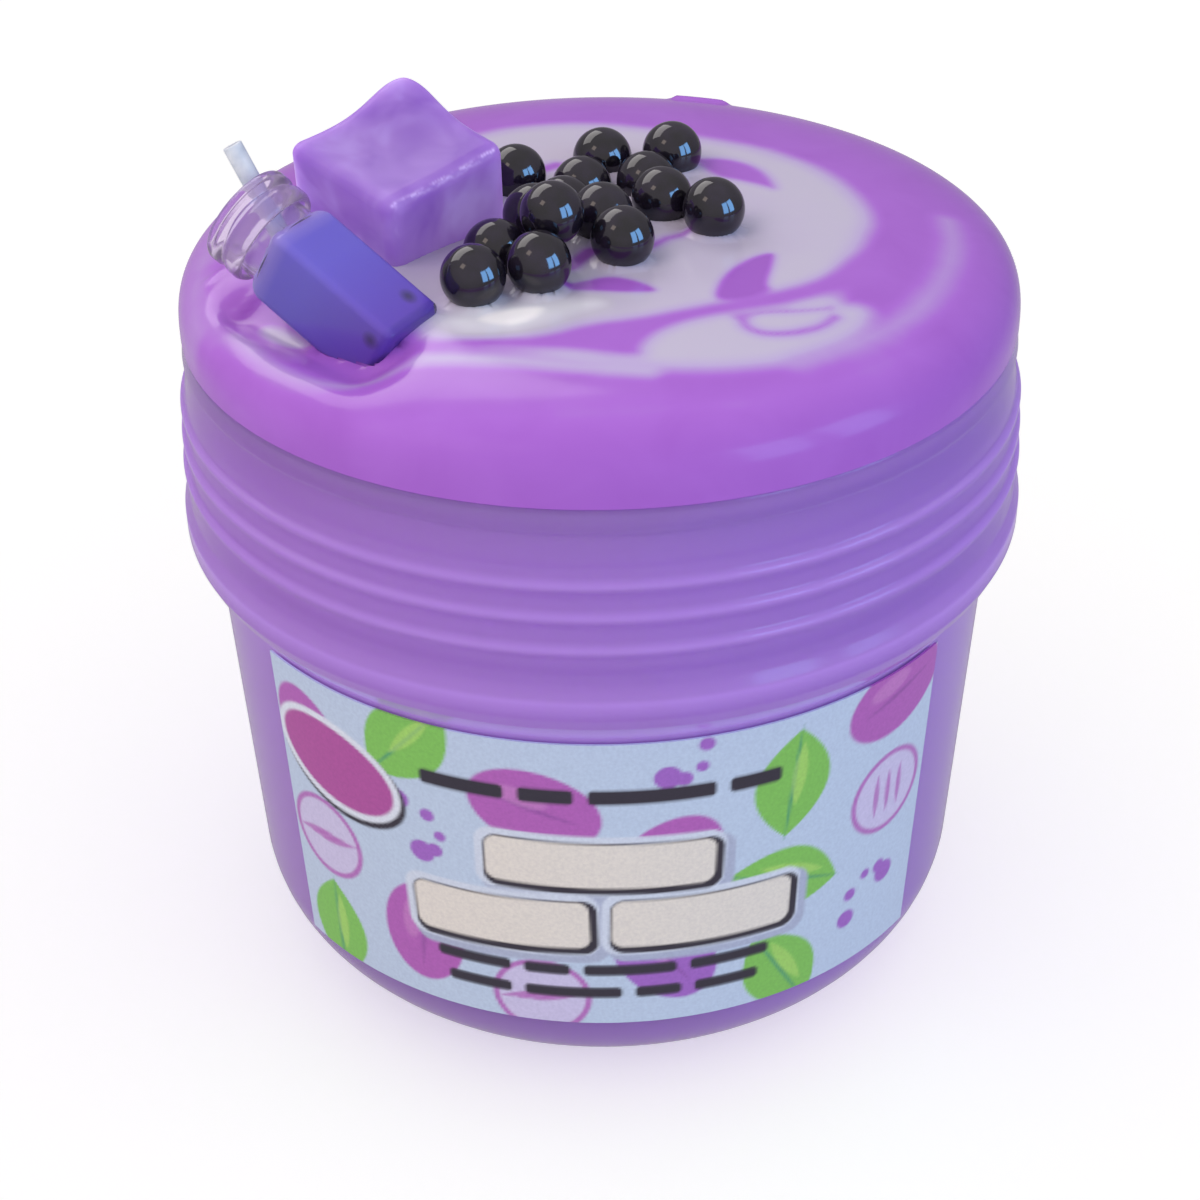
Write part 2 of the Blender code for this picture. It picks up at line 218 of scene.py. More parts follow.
@dataclass(frozen=True)
class StirredSlime:
    """Hand-stirred glue slime: wet gloss, soft inner glow, milky lilac folded through violet.

    The mesh attribute "milk" holds how much of the pale colour shows at each point: 0 is violet,
    a half is pale lilac and 1 is nearly white. "wetted" is 1 where the slime lies behind the clear wall;
    there its colour is painted lighter, a painted light in place of the light that the wall holds back.
    """

    violet: str = "#A565CE"
    deep: str = "#9A58C2"
    lilac: str = "#B6A6D2"
    pale: str = "#BDB9CC"
    milk: str = "#DADBE6"
    white: str = "#FAFAFE"
    painted_light_violet: str = "#A969D6"
    swirl_mm: float = 9.0
    grain_mm: float = 1.6
    drift: float = 0.02

    def build(self) -> bpy.types.Material:
        """Return the slime material."""
        material, tree, shader = blank_material("stirred_slime")
        place = add_node(tree, "ShaderNodeTexCoord").outputs["Object"]
        milk = add_node(tree, "ShaderNodeAttribute", attribute_name="milk", attribute_type="GEOMETRY")
        swirl = add_node(
            tree,
            "ShaderNodeTexNoise",
            {"Vector": place, "Scale": 1.0 / (self.swirl_mm * MM), "Detail": 3.0, "Distortion": 0.8},
        )
        drift = add_node(
            tree,
            "ShaderNodeMapRange",
            {"Value": swirl.outputs["Fac"], "From Min": 0.3, "From Max": 0.7,
             "To Min": -self.drift, "To Max": self.drift},
        )
        share = add_node(
            tree,
            "ShaderNodeMath",
            {0: milk.outputs["Fac"], 1: drift.outputs["Result"]},
            operation="ADD",
            use_clamp=True,
        )
        colour = add_node(
            tree,
            "ShaderNodeValToRGB",
            {"Fac": share.outputs["Value"]},
            {0.0: self.deep, 0.08: self.violet, 0.3: self.lilac, 0.55: self.pale, 0.8: self.milk,
             1.0: self.white},
        )
        # Painted light: behind the wall the slime is coloured a lighter violet to stand in for light.
        painted_wall_light = add_node(tree, "ShaderNodeAttribute", attribute_name="painted_wall_light", attribute_type="GEOMETRY")
        seen = add_node(
            tree,
            "ShaderNodeMix",
            {"Factor": painted_wall_light.outputs["Fac"], "A": colour.outputs["Color"], "B": linear(self.painted_light_violet)},
            data_type="RGBA",
        )
        skin = add_node(
            tree, "ShaderNodeTexNoise", {"Vector": place, "Scale": 1.0 / (self.grain_mm * MM), "Detail": 2.0}
        )
        bump = add_node(
            tree, "ShaderNodeBump", {"Height": skin.outputs["Fac"], "Strength": 0.12, "Distance": 0.05 * MM}
        )
        feed(tree, shader, {
            "Base Color": seen.outputs[2],
            "Roughness": 0.2,
            "IOR": 1.35,
            "Subsurface Weight": 0.06,
            "Subsurface Radius": (1.0, 0.6, 1.1),
            "Subsurface Scale": 1.2 * MM,
            "Coat Weight": 0.2,
            "Coat Roughness": 0.08,
            "Normal": bump.outputs["Normal"],
        })
        return material


@dataclass(frozen=True)
class PrintedPaper:
    """Offset-printed coated label paper: cool white, satin, with faint fibre under flat inks.

    The mesh colour attribute "ink" holds the printed colours.
    """

    fibre_mm: float = 0.35
    fibre_grey: str = "#F1F1F4"

    def build(self) -> bpy.types.Material:
        """Return the paper material."""
        material, tree, shader = blank_material("printed_paper")
        place = add_node(tree, "ShaderNodeTexCoord").outputs["Object"]
        ink = add_node(tree, "ShaderNodeAttribute", attribute_name="ink", attribute_type="GEOMETRY")
        fibre = add_node(
            tree, "ShaderNodeTexNoise", {"Vector": place, "Scale": 1.0 / (self.fibre_mm * MM), "Detail": 3.0}
        )
        shade = add_node(
            tree, "ShaderNodeValToRGB", {"Fac": fibre.outputs["Fac"]}, {0.3: self.fibre_grey, 0.7: "#FFFFFF"}
        )
        mixed = add_node(
            tree,
            "ShaderNodeMix",
            {"Factor": 1.0, "A": ink.outputs["Color"], "B": shade.outputs["Color"]},
            data_type="RGBA",
            blend_type="MULTIPLY",
        )
        bump = add_node(
            tree, "ShaderNodeBump", {"Height": fibre.outputs["Fac"], "Strength": 0.1, "Distance": 0.02 * MM}
        )
        feed(tree, shader, {
            "Base Color": mixed.outputs[2],
            "Roughness": 0.42,
            "Normal": bump.outputs["Normal"],
        })
        return material


@dataclass(frozen=True)
class TumbledBlackBead:
    """Tumbled black acrylic: near black with a violet cast, deep gloss, faint polishing haze."""

    black: str = "#131118"
    bloom: str = "#221C2C"
    haze_mm: float = 1.8

    def build(self) -> bpy.types.Material:
        """Return the bead material."""
        material, tree, shader = blank_material("tumbled_black_bead")
        place = add_node(tree, "ShaderNodeTexCoord").outputs["Object"]
        haze = add_node(
            tree, "ShaderNodeTexNoise", {"Vector": place, "Scale": 1.0 / (self.haze_mm * MM), "Detail": 3.0}
        )
        colour = add_node(
            tree, "ShaderNodeValToRGB", {"Fac": haze.outputs["Fac"]}, {0.35: self.black, 0.7: self.bloom}
        )
        gloss = add_node(
            tree,
            "ShaderNodeMapRange",
            {"Value": haze.outputs["Fac"], "From Min": 0.3, "From Max": 0.8, "To Min": 0.03, "To Max": 0.12},
        )
        feed(tree, shader, {
            "Base Color": colour.outputs["Color"],
            "Roughness": gloss.outputs["Result"],
            "IOR": 1.57,
        })
        return material


@dataclass(frozen=True)
class CastCloudyResin:
    """Cast cloudy resin: soft milky lilac with a painted glow, an emission that stands in for light through
    it, wavy skin, darker clouds in its depth.

    The mesh attribute "seam" holds where the mould's parting seam runs, painted pale as a painted highlight
    along the edge.
    """

    cloud: str = "#725499"
    milk: str = "#8069A6"
    deep: str = "#664591"
    painted_seam_highlight: str = "#DCD4F2"
    painted_glow: float = 0.85
    cloud_mm: float = 5.5

    def build(self) -> bpy.types.Material:
        """Return the ice cube's material."""
        material, tree, shader = blank_material("cast_cloudy_resin")
        place = add_node(tree, "ShaderNodeTexCoord").outputs["Object"]
        cloud = add_node(
            tree,
            "ShaderNodeTexNoise",
            {"Vector": place, "Scale": 1.0 / (self.cloud_mm * MM), "Detail": 2.0, "Distortion": 0.5},
        )
        body = add_node(
            tree,
            "ShaderNodeValToRGB",
            {"Fac": cloud.outputs["Fac"]},
            {0.3: self.deep, 0.5: self.cloud, 0.72: self.milk},
        )
        # Painted highlight: the seam is mixed towards a pale lilac.
        painted_seam_highlight = add_node(tree, "ShaderNodeAttribute", attribute_name="painted_seam_highlight", attribute_type="GEOMETRY")
        colour = add_node(
            tree,
            "ShaderNodeMix",
            {"Factor": painted_seam_highlight.outputs["Fac"], "A": body.outputs["Color"], "B": linear(self.painted_seam_highlight)},
            data_type="RGBA",
        )
        bump = add_node(
            tree, "ShaderNodeBump", {"Height": cloud.outputs["Fac"], "Strength": 0.25, "Distance": 0.3 * MM}
        )
        # Painted glow: the resin's colour, seam highlight included, is also emitted, in place of light that
        # passes through the cube.
        feed(tree, shader, {
            "Base Color": colour.outputs[2],
            "Emission Color": colour.outputs[2],
            "Emission Strength": self.painted_glow,
            "Roughness": 0.36,
            "IOR": 1.4,
            "Subsurface Weight": 1.0,
            "Subsurface Radius": (1.0, 0.75, 1.1),
            "Subsurface Scale": 8.0 * MM,
            "Normal": bump.outputs["Normal"],
        })
        return material


@dataclass(frozen=True)
class VioletGel:
    """Poured violet gel: deeper at the foot, milky at the shoulder, with two blurred dark grains."""

    top: str = "#776CD2"
    foot: str = "#714BC0"
    shoulder: str = "#AA9DDA"
    grain: str = "#35324F"
    grain_mm: float = 1.0

    def build(self, low: Vector, high: Vector, grains: Sequence[Vector]) -> bpy.types.Material:
        """Make the gel's material.

        Args:
            low: where the gel has its foot colour, in metres.
            high: where the gel has its shoulder colour, in metres.
            grains: middles of the dark grains, in metres.

        Returns:
            The material.
        """
        material, tree, shader = blank_material("violet_gel")
        place = add_node(tree, "ShaderNodeTexCoord").outputs["Object"]
        run = high - low
        offset = add_node(tree, "ShaderNodeVectorMath", {0: place, 1: low}, operation="SUBTRACT")
        along = add_node(
            tree,
            "ShaderNodeVectorMath",
            {0: offset.outputs["Vector"], 1: run / run.length_squared},
            operation="DOT_PRODUCT",
        )
        colour = add_node(
            tree,
            "ShaderNodeValToRGB",
            {"Fac": along.outputs["Value"]},
            {0.0: self.foot, 0.65: self.top, 0.84: self.top, 1.0: self.shoulder},
        ).outputs["Color"]
        for grain in grains:
            away = add_node(tree, "ShaderNodeVectorMath", {0: place, 1: grain}, operation="DISTANCE")
            spot = add_node(
                tree,
                "ShaderNodeMapRange",
                {"Value": away.outputs["Value"], "From Min": 0.2 * self.grain_mm * MM,
                 "From Max": self.grain_mm * MM, "To Min": 0.85, "To Max": 0.0},
            )
            colour = add_node(
                tree,
                "ShaderNodeMix",
                {"Factor": spot.outputs["Result"], "A": colour, "B": linear(self.grain)},
                data_type="RGBA",
            ).outputs[2]
        feed(tree, shader, {
            "Base Color": colour,
            "Roughness": 0.3,
            "Subsurface Weight": 0.35,
            "Subsurface Radius": (0.8, 0.7, 1.2),
            "Subsurface Scale": 1.2 * MM,
        })
        return material


@dataclass(frozen=True)
class ExtrudedWhiteStraw:
    """Extruded white polypropylene: cool satin white, faintly streaked."""

    white: str = "#D9DFE9"
    streak: str = "#C3CCDA"
    streak_mm: float = 1.2

    def build(self) -> bpy.types.Material:
        """Return the straw's material."""
        material, tree, shader = blank_material("extruded_white_straw")
        place = add_node(tree, "ShaderNodeTexCoord").outputs["Object"]
        streak = add_node(
            tree,
            "ShaderNodeTexNoise",
            {"Vector": place, "Scale": 1.0 / (self.streak_mm * MM), "Detail": 2.0},
        )
        colour = add_node(
            tree, "ShaderNodeValToRGB", {"Fac": streak.outputs["Fac"]}, {0.35: self.streak, 0.65: self.white}
        )
        feed(tree, shader, {"Base Color": colour.outputs["Color"], "Roughness": 0.35})
        return material


def arc(centre: tuple[float, float], radius: float, start: float, end: float, steps: int) -> Outline:
    """Points on an arc of an outline.

    Args:
        centre: radius and height of the arc's middle.
        radius: the arc's own radius.
        start: first angle in degrees, from outwards.
        end: last angle in degrees.
        steps: how many spans the arc has.

    Returns:
        The points, ends included.
    """
    angles = [radians(start + (end - start) * i / steps) for i in range(steps + 1)]
    return [(centre[0] + radius * cos(a), centre[1] + radius * sin(a)) for a in angles]


def filleted(corners: Sequence[tuple[float, float, float]], steps: int = 5) -> Outline:
    """Round the corners of an outline.

    Args:
        corners: radius, height and fillet of each corner.
        steps: spans in each fillet.

    Returns:
        The outline with each corner that has a fillet turned to a smooth curve.
    """
    points: Outline = []
    for i, (r, z, fillet) in enumerate(corners):
        if fillet <= 0.0 or i in (0, len(corners) - 1):
            points.append((r, z))
            continue
        corner = Vector((r, z))
        back = Vector(corners[i - 1][:2]) - corner
        ahead = Vector(corners[i + 1][:2]) - corner
        reach = min(fillet * tan((pi - back.angle(ahead)) / 2.0), 0.48 * back.length, 0.48 * ahead.length)
        start = corner + back.normalized() * reach
        end = corner + ahead.normalized() * reach
        for step in range(steps + 1):
            t = step / steps
            point = start * (1.0 - t) ** 2 + corner * 2.0 * t * (1.0 - t) + end * t**2
            points.append((point.x, point.y))
    return points


def begin(name: str, add: Callable[..., object], **settings: object) -> bpy.types.Object:
    """Add a primitive alone in the selection and name it.

    Args:
        name: the piece's name.
        add: the operator that adds the primitive.
        settings: the primitive's size and place.

    Returns:
        The new object, active and selected.
    """
    bpy.ops.object.select_all(action="DESELECT")
    add(**settings)
    piece = bpy.context.object
    piece.name = name
    piece.data.name = name
    return piece


def pick(piece: bpy.types.Object) -> None:
    """Select one piece alone and make it active."""
    bpy.ops.object.select_all(action="DESELECT")
    piece.select_set(True)
    bpy.context.view_layer.objects.active = piece


def turned(name: str, outline: Outline, steps: int) -> bpy.types.Object:
    """Turn an outline once round Z: it is extruded point by point, then spun.

    Args:
        name: the piece's name.
        outline: radius and height of each point, in millimetres.
        steps: flats round the piece.

    Returns:
        The turned piece, closed at its poles.
    """
    piece = begin(name, bpy.ops.mesh.primitive_plane_add, size=MM)
    bpy.ops.object.mode_set(mode="EDIT")
    bpy.ops.mesh.select_all(action="SELECT")
    bpy.ops.mesh.merge(type="CENTER")
    here = Vector((0.0, 0.0))
    for i, point in enumerate(outline):
        step = (Vector(point) - here) * MM
        here = Vector(point)
        if i == 0:
            bpy.ops.transform.translate(value=(step.x, 0.0, step.y))
        else:
            bpy.ops.mesh.extrude_vertices_move(TRANSFORM_OT_translate={"value": (step.x, 0.0, step.y)})
    bpy.ops.mesh.select_all(action="SELECT")
    bpy.ops.mesh.spin(steps=steps, angle=2.0 * pi, center=(0.0, 0.0, 0.0), axis=(0.0, 0.0, 1.0))
    bpy.ops.mesh.select_all(action="SELECT")
    bpy.ops.mesh.remove_doubles(threshold=WELD)
    bpy.ops.mesh.normals_make_consistent(inside=False)
    bpy.ops.object.mode_set(mode="OBJECT")
    return piece


def move_points(piece: bpy.types.Object, move: Callable[[np.ndarray], np.ndarray]) -> None:
    """Move a mesh's points by a rule.

    Args:
        piece: the piece, whose object is still unturned.
        move: takes the points in millimetres and returns their new places.
    """
    mesh = piece.data
    points = np.empty(3 * len(mesh.vertices))
    mesh.vertices.foreach_get("co", points)
    moved = move(points.reshape(-1, 3) / MM) * MM
    mesh.vertices.foreach_set("co", moved.ravel())
    mesh.update()


def points_of(piece: bpy.types.Object) -> np.ndarray:
    """Return a mesh's points in millimetres."""
    points = np.empty(3 * len(piece.data.vertices))
    piece.data.vertices.foreach_get("co", points)
    return points.reshape(-1, 3) / MM


def settle(piece: bpy.types.Object) -> None:
    """Apply every modifier of a piece, in order."""
    pick(piece)
    for modifier in list(piece.modifiers):
        bpy.ops.object.modifier_apply(modifier=modifier.name)


def seat(piece: bpy.types.Object, place: Matrix) -> None:
    """Put a piece in its place, with the place in its mesh."""
    piece.data.transform(place)
    piece.data.update()


def dress(
    piece: bpy.types.Object,
    material: bpy.types.Material,
    nodes: Sequence[str],
    angle: float = 40.0,
) -> None:
    """Shade a piece, give it its finish and hang it on the model.

    Args:
        piece: the finished piece.
        material: its material.
        nodes: the solids that it stands for.
        angle: edges sharper than this many degrees stay sharp.
    """
    pick(piece)
    bpy.ops.object.shade_smooth_by_angle(angle=radians(angle))
    piece.data.materials.clear()
    piece.data.materials.append(material)
    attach(piece, ROOT)
    if nodes:
        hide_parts(*nodes)
    LOG.info("%s: %d faces", piece.name, len(piece.data.polygons))


@dataclass
class ClearJar:
    """The clear pot: lip, ribbed collar, flange, drafted body and round-edged base."""

    rim_height: float = 70.2
    rim_radius: float = 40.2
    rim_round: float = 0.55
    lip_drop: float = 2.5
    lip_step: float = 0.2
    collar_top: float = 40.3
    collar_bottom: float = 41.25
    collar_foot: float = 53.0
    rib_heights: tuple[float, ...] = (62.8, 59.7, 56.5)
    rib_rise: float = 0.5
    rib_crest: float = 0.35
    rib_foot: float = 0.75
    rib_fillet: float = 0.6
    flange_radius: float = 41.9
    flange_top: float = 51.7
    flange_bottom: float = 49.7
    flange_lip_height: float = 48.4
    flange_lip_radius: float = 41.3
    body_top: float = 45.6
    body_top_radius: float = 39.2
    draft: float = 0.046
    base_round: float = 11.5
    wall: float = 1.2
    bore: float = 39.0
    bore_foot: float = 50.0
    steps: int = 240

    def body_radius(self, z: float) -> float:
        """Return the outer radius of the drafted body above the base corner."""
        return self.body_top_radius - self.draft * (self.body_top - z)

    def corner_radius(self) -> float:
        """Return the radius at which the base corner's arc has its middle."""
        return self.body_radius(self.base_round) - self.base_round

    def wall_radius(self, z: float) -> float:
        """Return the outer radius of the body at any height, base corner included."""
        if z >= self.base_round:
            return self.body_radius(z)
        sunk = (self.base_round - z) / self.base_round
        return self.corner_radius() + self.base_round * (1.0 - sunk**2) ** 0.5

    def collar_radius(self, z: float) -> float:
        """Return the radius of the plain collar wall between the lip and the flange."""
        top = self.rim_height - self.lip_drop
        share = (top - z) / (top - self.collar_foot)
        return self.collar_top + (self.collar_bottom - self.collar_top) * share

    def bore_outline(self, outwards: float) -> Outline:
        """Follow the inner wall from the middle of the floor to the collar.

        Args:
            outwards: how far into the wall the outline is moved.

        Returns:
            The outline.
        """
        centre = (self.corner_radius(), self.base_round)
        corner = arc(centre, self.base_round - self.wall + outwards, -90.0, 0.0, 14)
        points = [(0.0, self.wall - outwards), (0.5 * self.corner_radius(), self.wall - outwards)]
        points += corner
        points.append((self.body_top_radius - self.wall + outwards, self.body_top))
        points.append((self.bore + outwards, self.bore_foot))
        return points

    def collar_corners(self) -> list[tuple[float, float, float]]:
        """Return the corners of lip, ribs and flange with their fillets, top to bottom."""
        lip = self.rim_height - self.lip_drop
        corners = [(self.rim_radius, self.rim_height - self.rim_round, 0.0)]
        corners.append((self.rim_radius + self.lip_step, lip + self.lip_step, 0.35))
        corners.append((self.collar_radius(lip) - self.lip_step, lip - self.lip_step, 0.35))
        for z in self.rib_heights:
            wall = self.collar_radius(z)
            profile = (
                (0.0, self.rib_foot),
                (self.rib_rise, self.rib_crest),
                (self.rib_rise, -self.rib_crest),
                (0.0, -self.rib_foot),
            )
            for rise, drop in profile:
                corners.append((wall + rise, z + drop, self.rib_fillet))
        corners.append((self.collar_bottom, self.collar_foot, 1.2))
        corners.append((self.flange_radius, self.flange_top, 1.0))
        corners.append((self.flange_radius, self.flange_bottom, 0.8))
        corners.append((self.flange_lip_radius, self.flange_lip_height, 0.5))
        return corners

    def outline(self) -> Outline:
        """Return the whole section: bore, rim, collar, flange, body and base."""
        points = self.bore_outline(0.0)
        rim = self.rim_height - self.rim_round
        points += arc((self.bore + self.rim_round, rim), self.rim_round, 180.0, 90.0, 6)
        points += arc((self.rim_radius - self.rim_round, rim), self.rim_round, 90.0, 0.0, 6)
        corners = self.collar_corners()
        corners.append((self.body_top_radius, self.body_top, 1.2))
        corners.append((self.body_radius(self.base_round), self.base_round, 0.0))
        points += filleted(corners)[1:]
        points += arc((self.corner_radius(), self.base_round), self.base_round, 0.0, -90.0, 16)[1:]
        points += [(0.5 * self.corner_radius(), 0.0), (0.0, 0.0)]
        return points

    def paint_edge_glow(self, jar: bpy.types.Object) -> None:
        """Write where a painted glow lights the outside: the upper edges of ribs and flange, and the shaded
        band of its underside.

        Args:
            jar: the turned jar.
        """
        x, y, z = points_of(jar).T
        edge = np.zeros(len(z))
        for rib in (*self.rib_heights, self.flange_top - 0.6):
            edge = np.maximum(edge, 0.2 * np.exp(-(((z - rib - self.rib_crest) / 0.4) ** 2)))
        # Painted glow on the shaded band under the flange lip, above the body.
        below_lip = np.clip((self.flange_lip_height - z) / 0.6, 0.0, 1.0)
        above_body = np.clip((z - self.body_top + 0.5) / 0.6, 0.0, 1.0)
        outside = np.hypot(x, y) > self.bore + 0.1 * self.wall
        edge = np.maximum(edge, 0.3 * below_lip * above_body) * outside
        jar.data.attributes.new("edge", "FLOAT", "POINT").data.foreach_set("value", edge.astype(np.float32))

    def build(self) -> bpy.types.Object:
        """Model and dress the jar; return it."""
        jar = turned("clear_jar", self.outline(), self.steps)
        self.paint_edge_glow(jar)
        finish = MouldedClearPlastic(
            "moulded_clear_jar", "#F4EEFC", ripple_mm=14.0, ripple_depth=0.25, roughness=0.16, haze=0.07
        )
        dress(jar, finish.build(), ["jar"], angle=50.0)
        return jar


@dataclass
class IceCube:
    """The cloudy cube, its faces dished and wavy, leaning towards the front."""

    rim_height: float
    side: float = 14.2
    edge_round: float = 1.6
    hollow: float = 0.55
    edge_hollow: float = 0.3
    peak_lift: float = 2.0
    peak_inset: float = 2.0
    peak_width: float = 4.2
    peak_soften: float = 0.9
    corner_reach: float = 0.35
    centre: tuple[float, float, float] = (-18.3, -1.4, 10.4)
    heading: float = 43.3
    lean: float = 12.8
    cuts: int = 84

    def place(self) -> Matrix:
        """Return the cube's turn and place, in metres."""
        turn = Matrix.Rotation(radians(self.lean), 4, "X") @ Matrix.Rotation(radians(self.heading), 4, "Z")
        x, y, z = self.centre
        return Matrix.Translation(Vector((x, y, z + self.rim_height)) * MM) @ turn

    def shape(self, points: np.ndarray) -> np.ndarray:
        """Round the edges and dish the faces of a cut-up cube.

        Args:
            points: the cube's points.

        Returns:
            The moved points.
        """
        half = 0.5 * self.side
        share = points / half
        core = np.clip(points, -(half - self.edge_round), half - self.edge_round)
        out = points - core
        length = np.linalg.norm(out, axis=1, keepdims=True)
        rounded = core + out / np.maximum(length, 1e-9) * self.edge_round
        for axis in range(3):
            others = [(axis + 1) % 3, (axis + 2) % 3]
            bowl = np.prod(1.0 - share[:, others] ** 2, axis=1)
            facing = np.abs(share[:, axis]) > 0.999
            rounded[:, axis] -= np.where(facing, np.sign(share[:, axis]) * self.hollow * bowl, 0.0)
        sx, sy, sz = share.T
        top = np.clip(sz, 0.0, 1.0) ** 2
        sag = (1.0 - sx**2) * np.abs(sy) ** 3 + (1.0 - sy**2) * np.abs(sx) ** 3
        peak = half - self.peak_inset
        from_peak = np.hypot(points[:, 0] - peak, points[:, 1] - peak)
        lift = self.peak_lift * np.exp(-((from_peak / self.peak_width) ** 2))
        rounded[:, 2] += top * (lift - self.edge_hollow * sag)
        from_corner = np.hypot(half - points[:, 0], half - points[:, 1])
        corner = np.clip(1.0 - from_corner / self.peak_width, 0.0, 1.0)
        rounded[:, :2] -= (self.peak_soften * top * corner**2)[:, None]
        left = (0.5 - 0.5 * sx) ** 2 * (0.5 + 0.5 * sy) ** 2
        rounded[:, 0] -= self.corner_reach * left
        rounded[:, 1] += self.corner_reach * left
        return rounded

    def paint_seam_highlight(self, cube: bpy.types.Object) -> None:
        """Write where the wavy double seam runs along the front right top edge and down the corner, as a
        painted highlight.
        """
        points = points_of(cube)
        edge = 0.5 * self.side - 0.3 * self.edge_round
        runs = []
        for drop, start, end in ((0.0, -0.95, 0.97), (0.55, -0.6, 0.8)):
            steps = np.linspace(start, end, 40) * edge
            wave = 0.14 * np.sin(2.1 * steps + 3.0 * drop) + 0.09 * np.sin(5.3 * steps)
            runs.append(np.stack((steps, np.full(40, -edge), edge - drop + wave), axis=1))
        drops = np.linspace(0.0, 3.4, 20)
        side = np.full(20, -edge)
        runs.append(np.stack((side + 0.5 + 0.1 * np.sin(4.0 * drops), side, edge - drops), axis=1))
        painted_seam_highlight = np.zeros(len(points))
        for run, strength in zip(runs, (0.3, 0.2, 0.16)):
            away = np.linalg.norm(points[:, None, :] - run[None, :, :], axis=2).min(axis=1)
            painted_seam_highlight = np.maximum(painted_seam_highlight, strength * np.exp(-((away / 0.17) ** 2)))
        cube.data.attributes.new("painted_seam_highlight", "FLOAT", "POINT").data.foreach_set("value", painted_seam_highlight.astype(np.float32))

    def build(self) -> bpy.types.Object:
        """Model and dress the cube; return it."""
        cube = begin("ice_cube_resin", bpy.ops.mesh.primitive_cube_add, size=self.side * MM)
        bpy.ops.object.mode_set(mode="EDIT")
        bpy.ops.mesh.select_all(action="SELECT")
        bpy.ops.mesh.subdivide(number_cuts=self.cuts)
        bpy.ops.object.mode_set(mode="OBJECT")
        move_points(cube, self.shape)
        self.paint_seam_highlight(cube)
        seat(cube, self.place())
        dress(cube, CastCloudyResin().build(), ["ice_cube"], angle=60.0)
        return cube


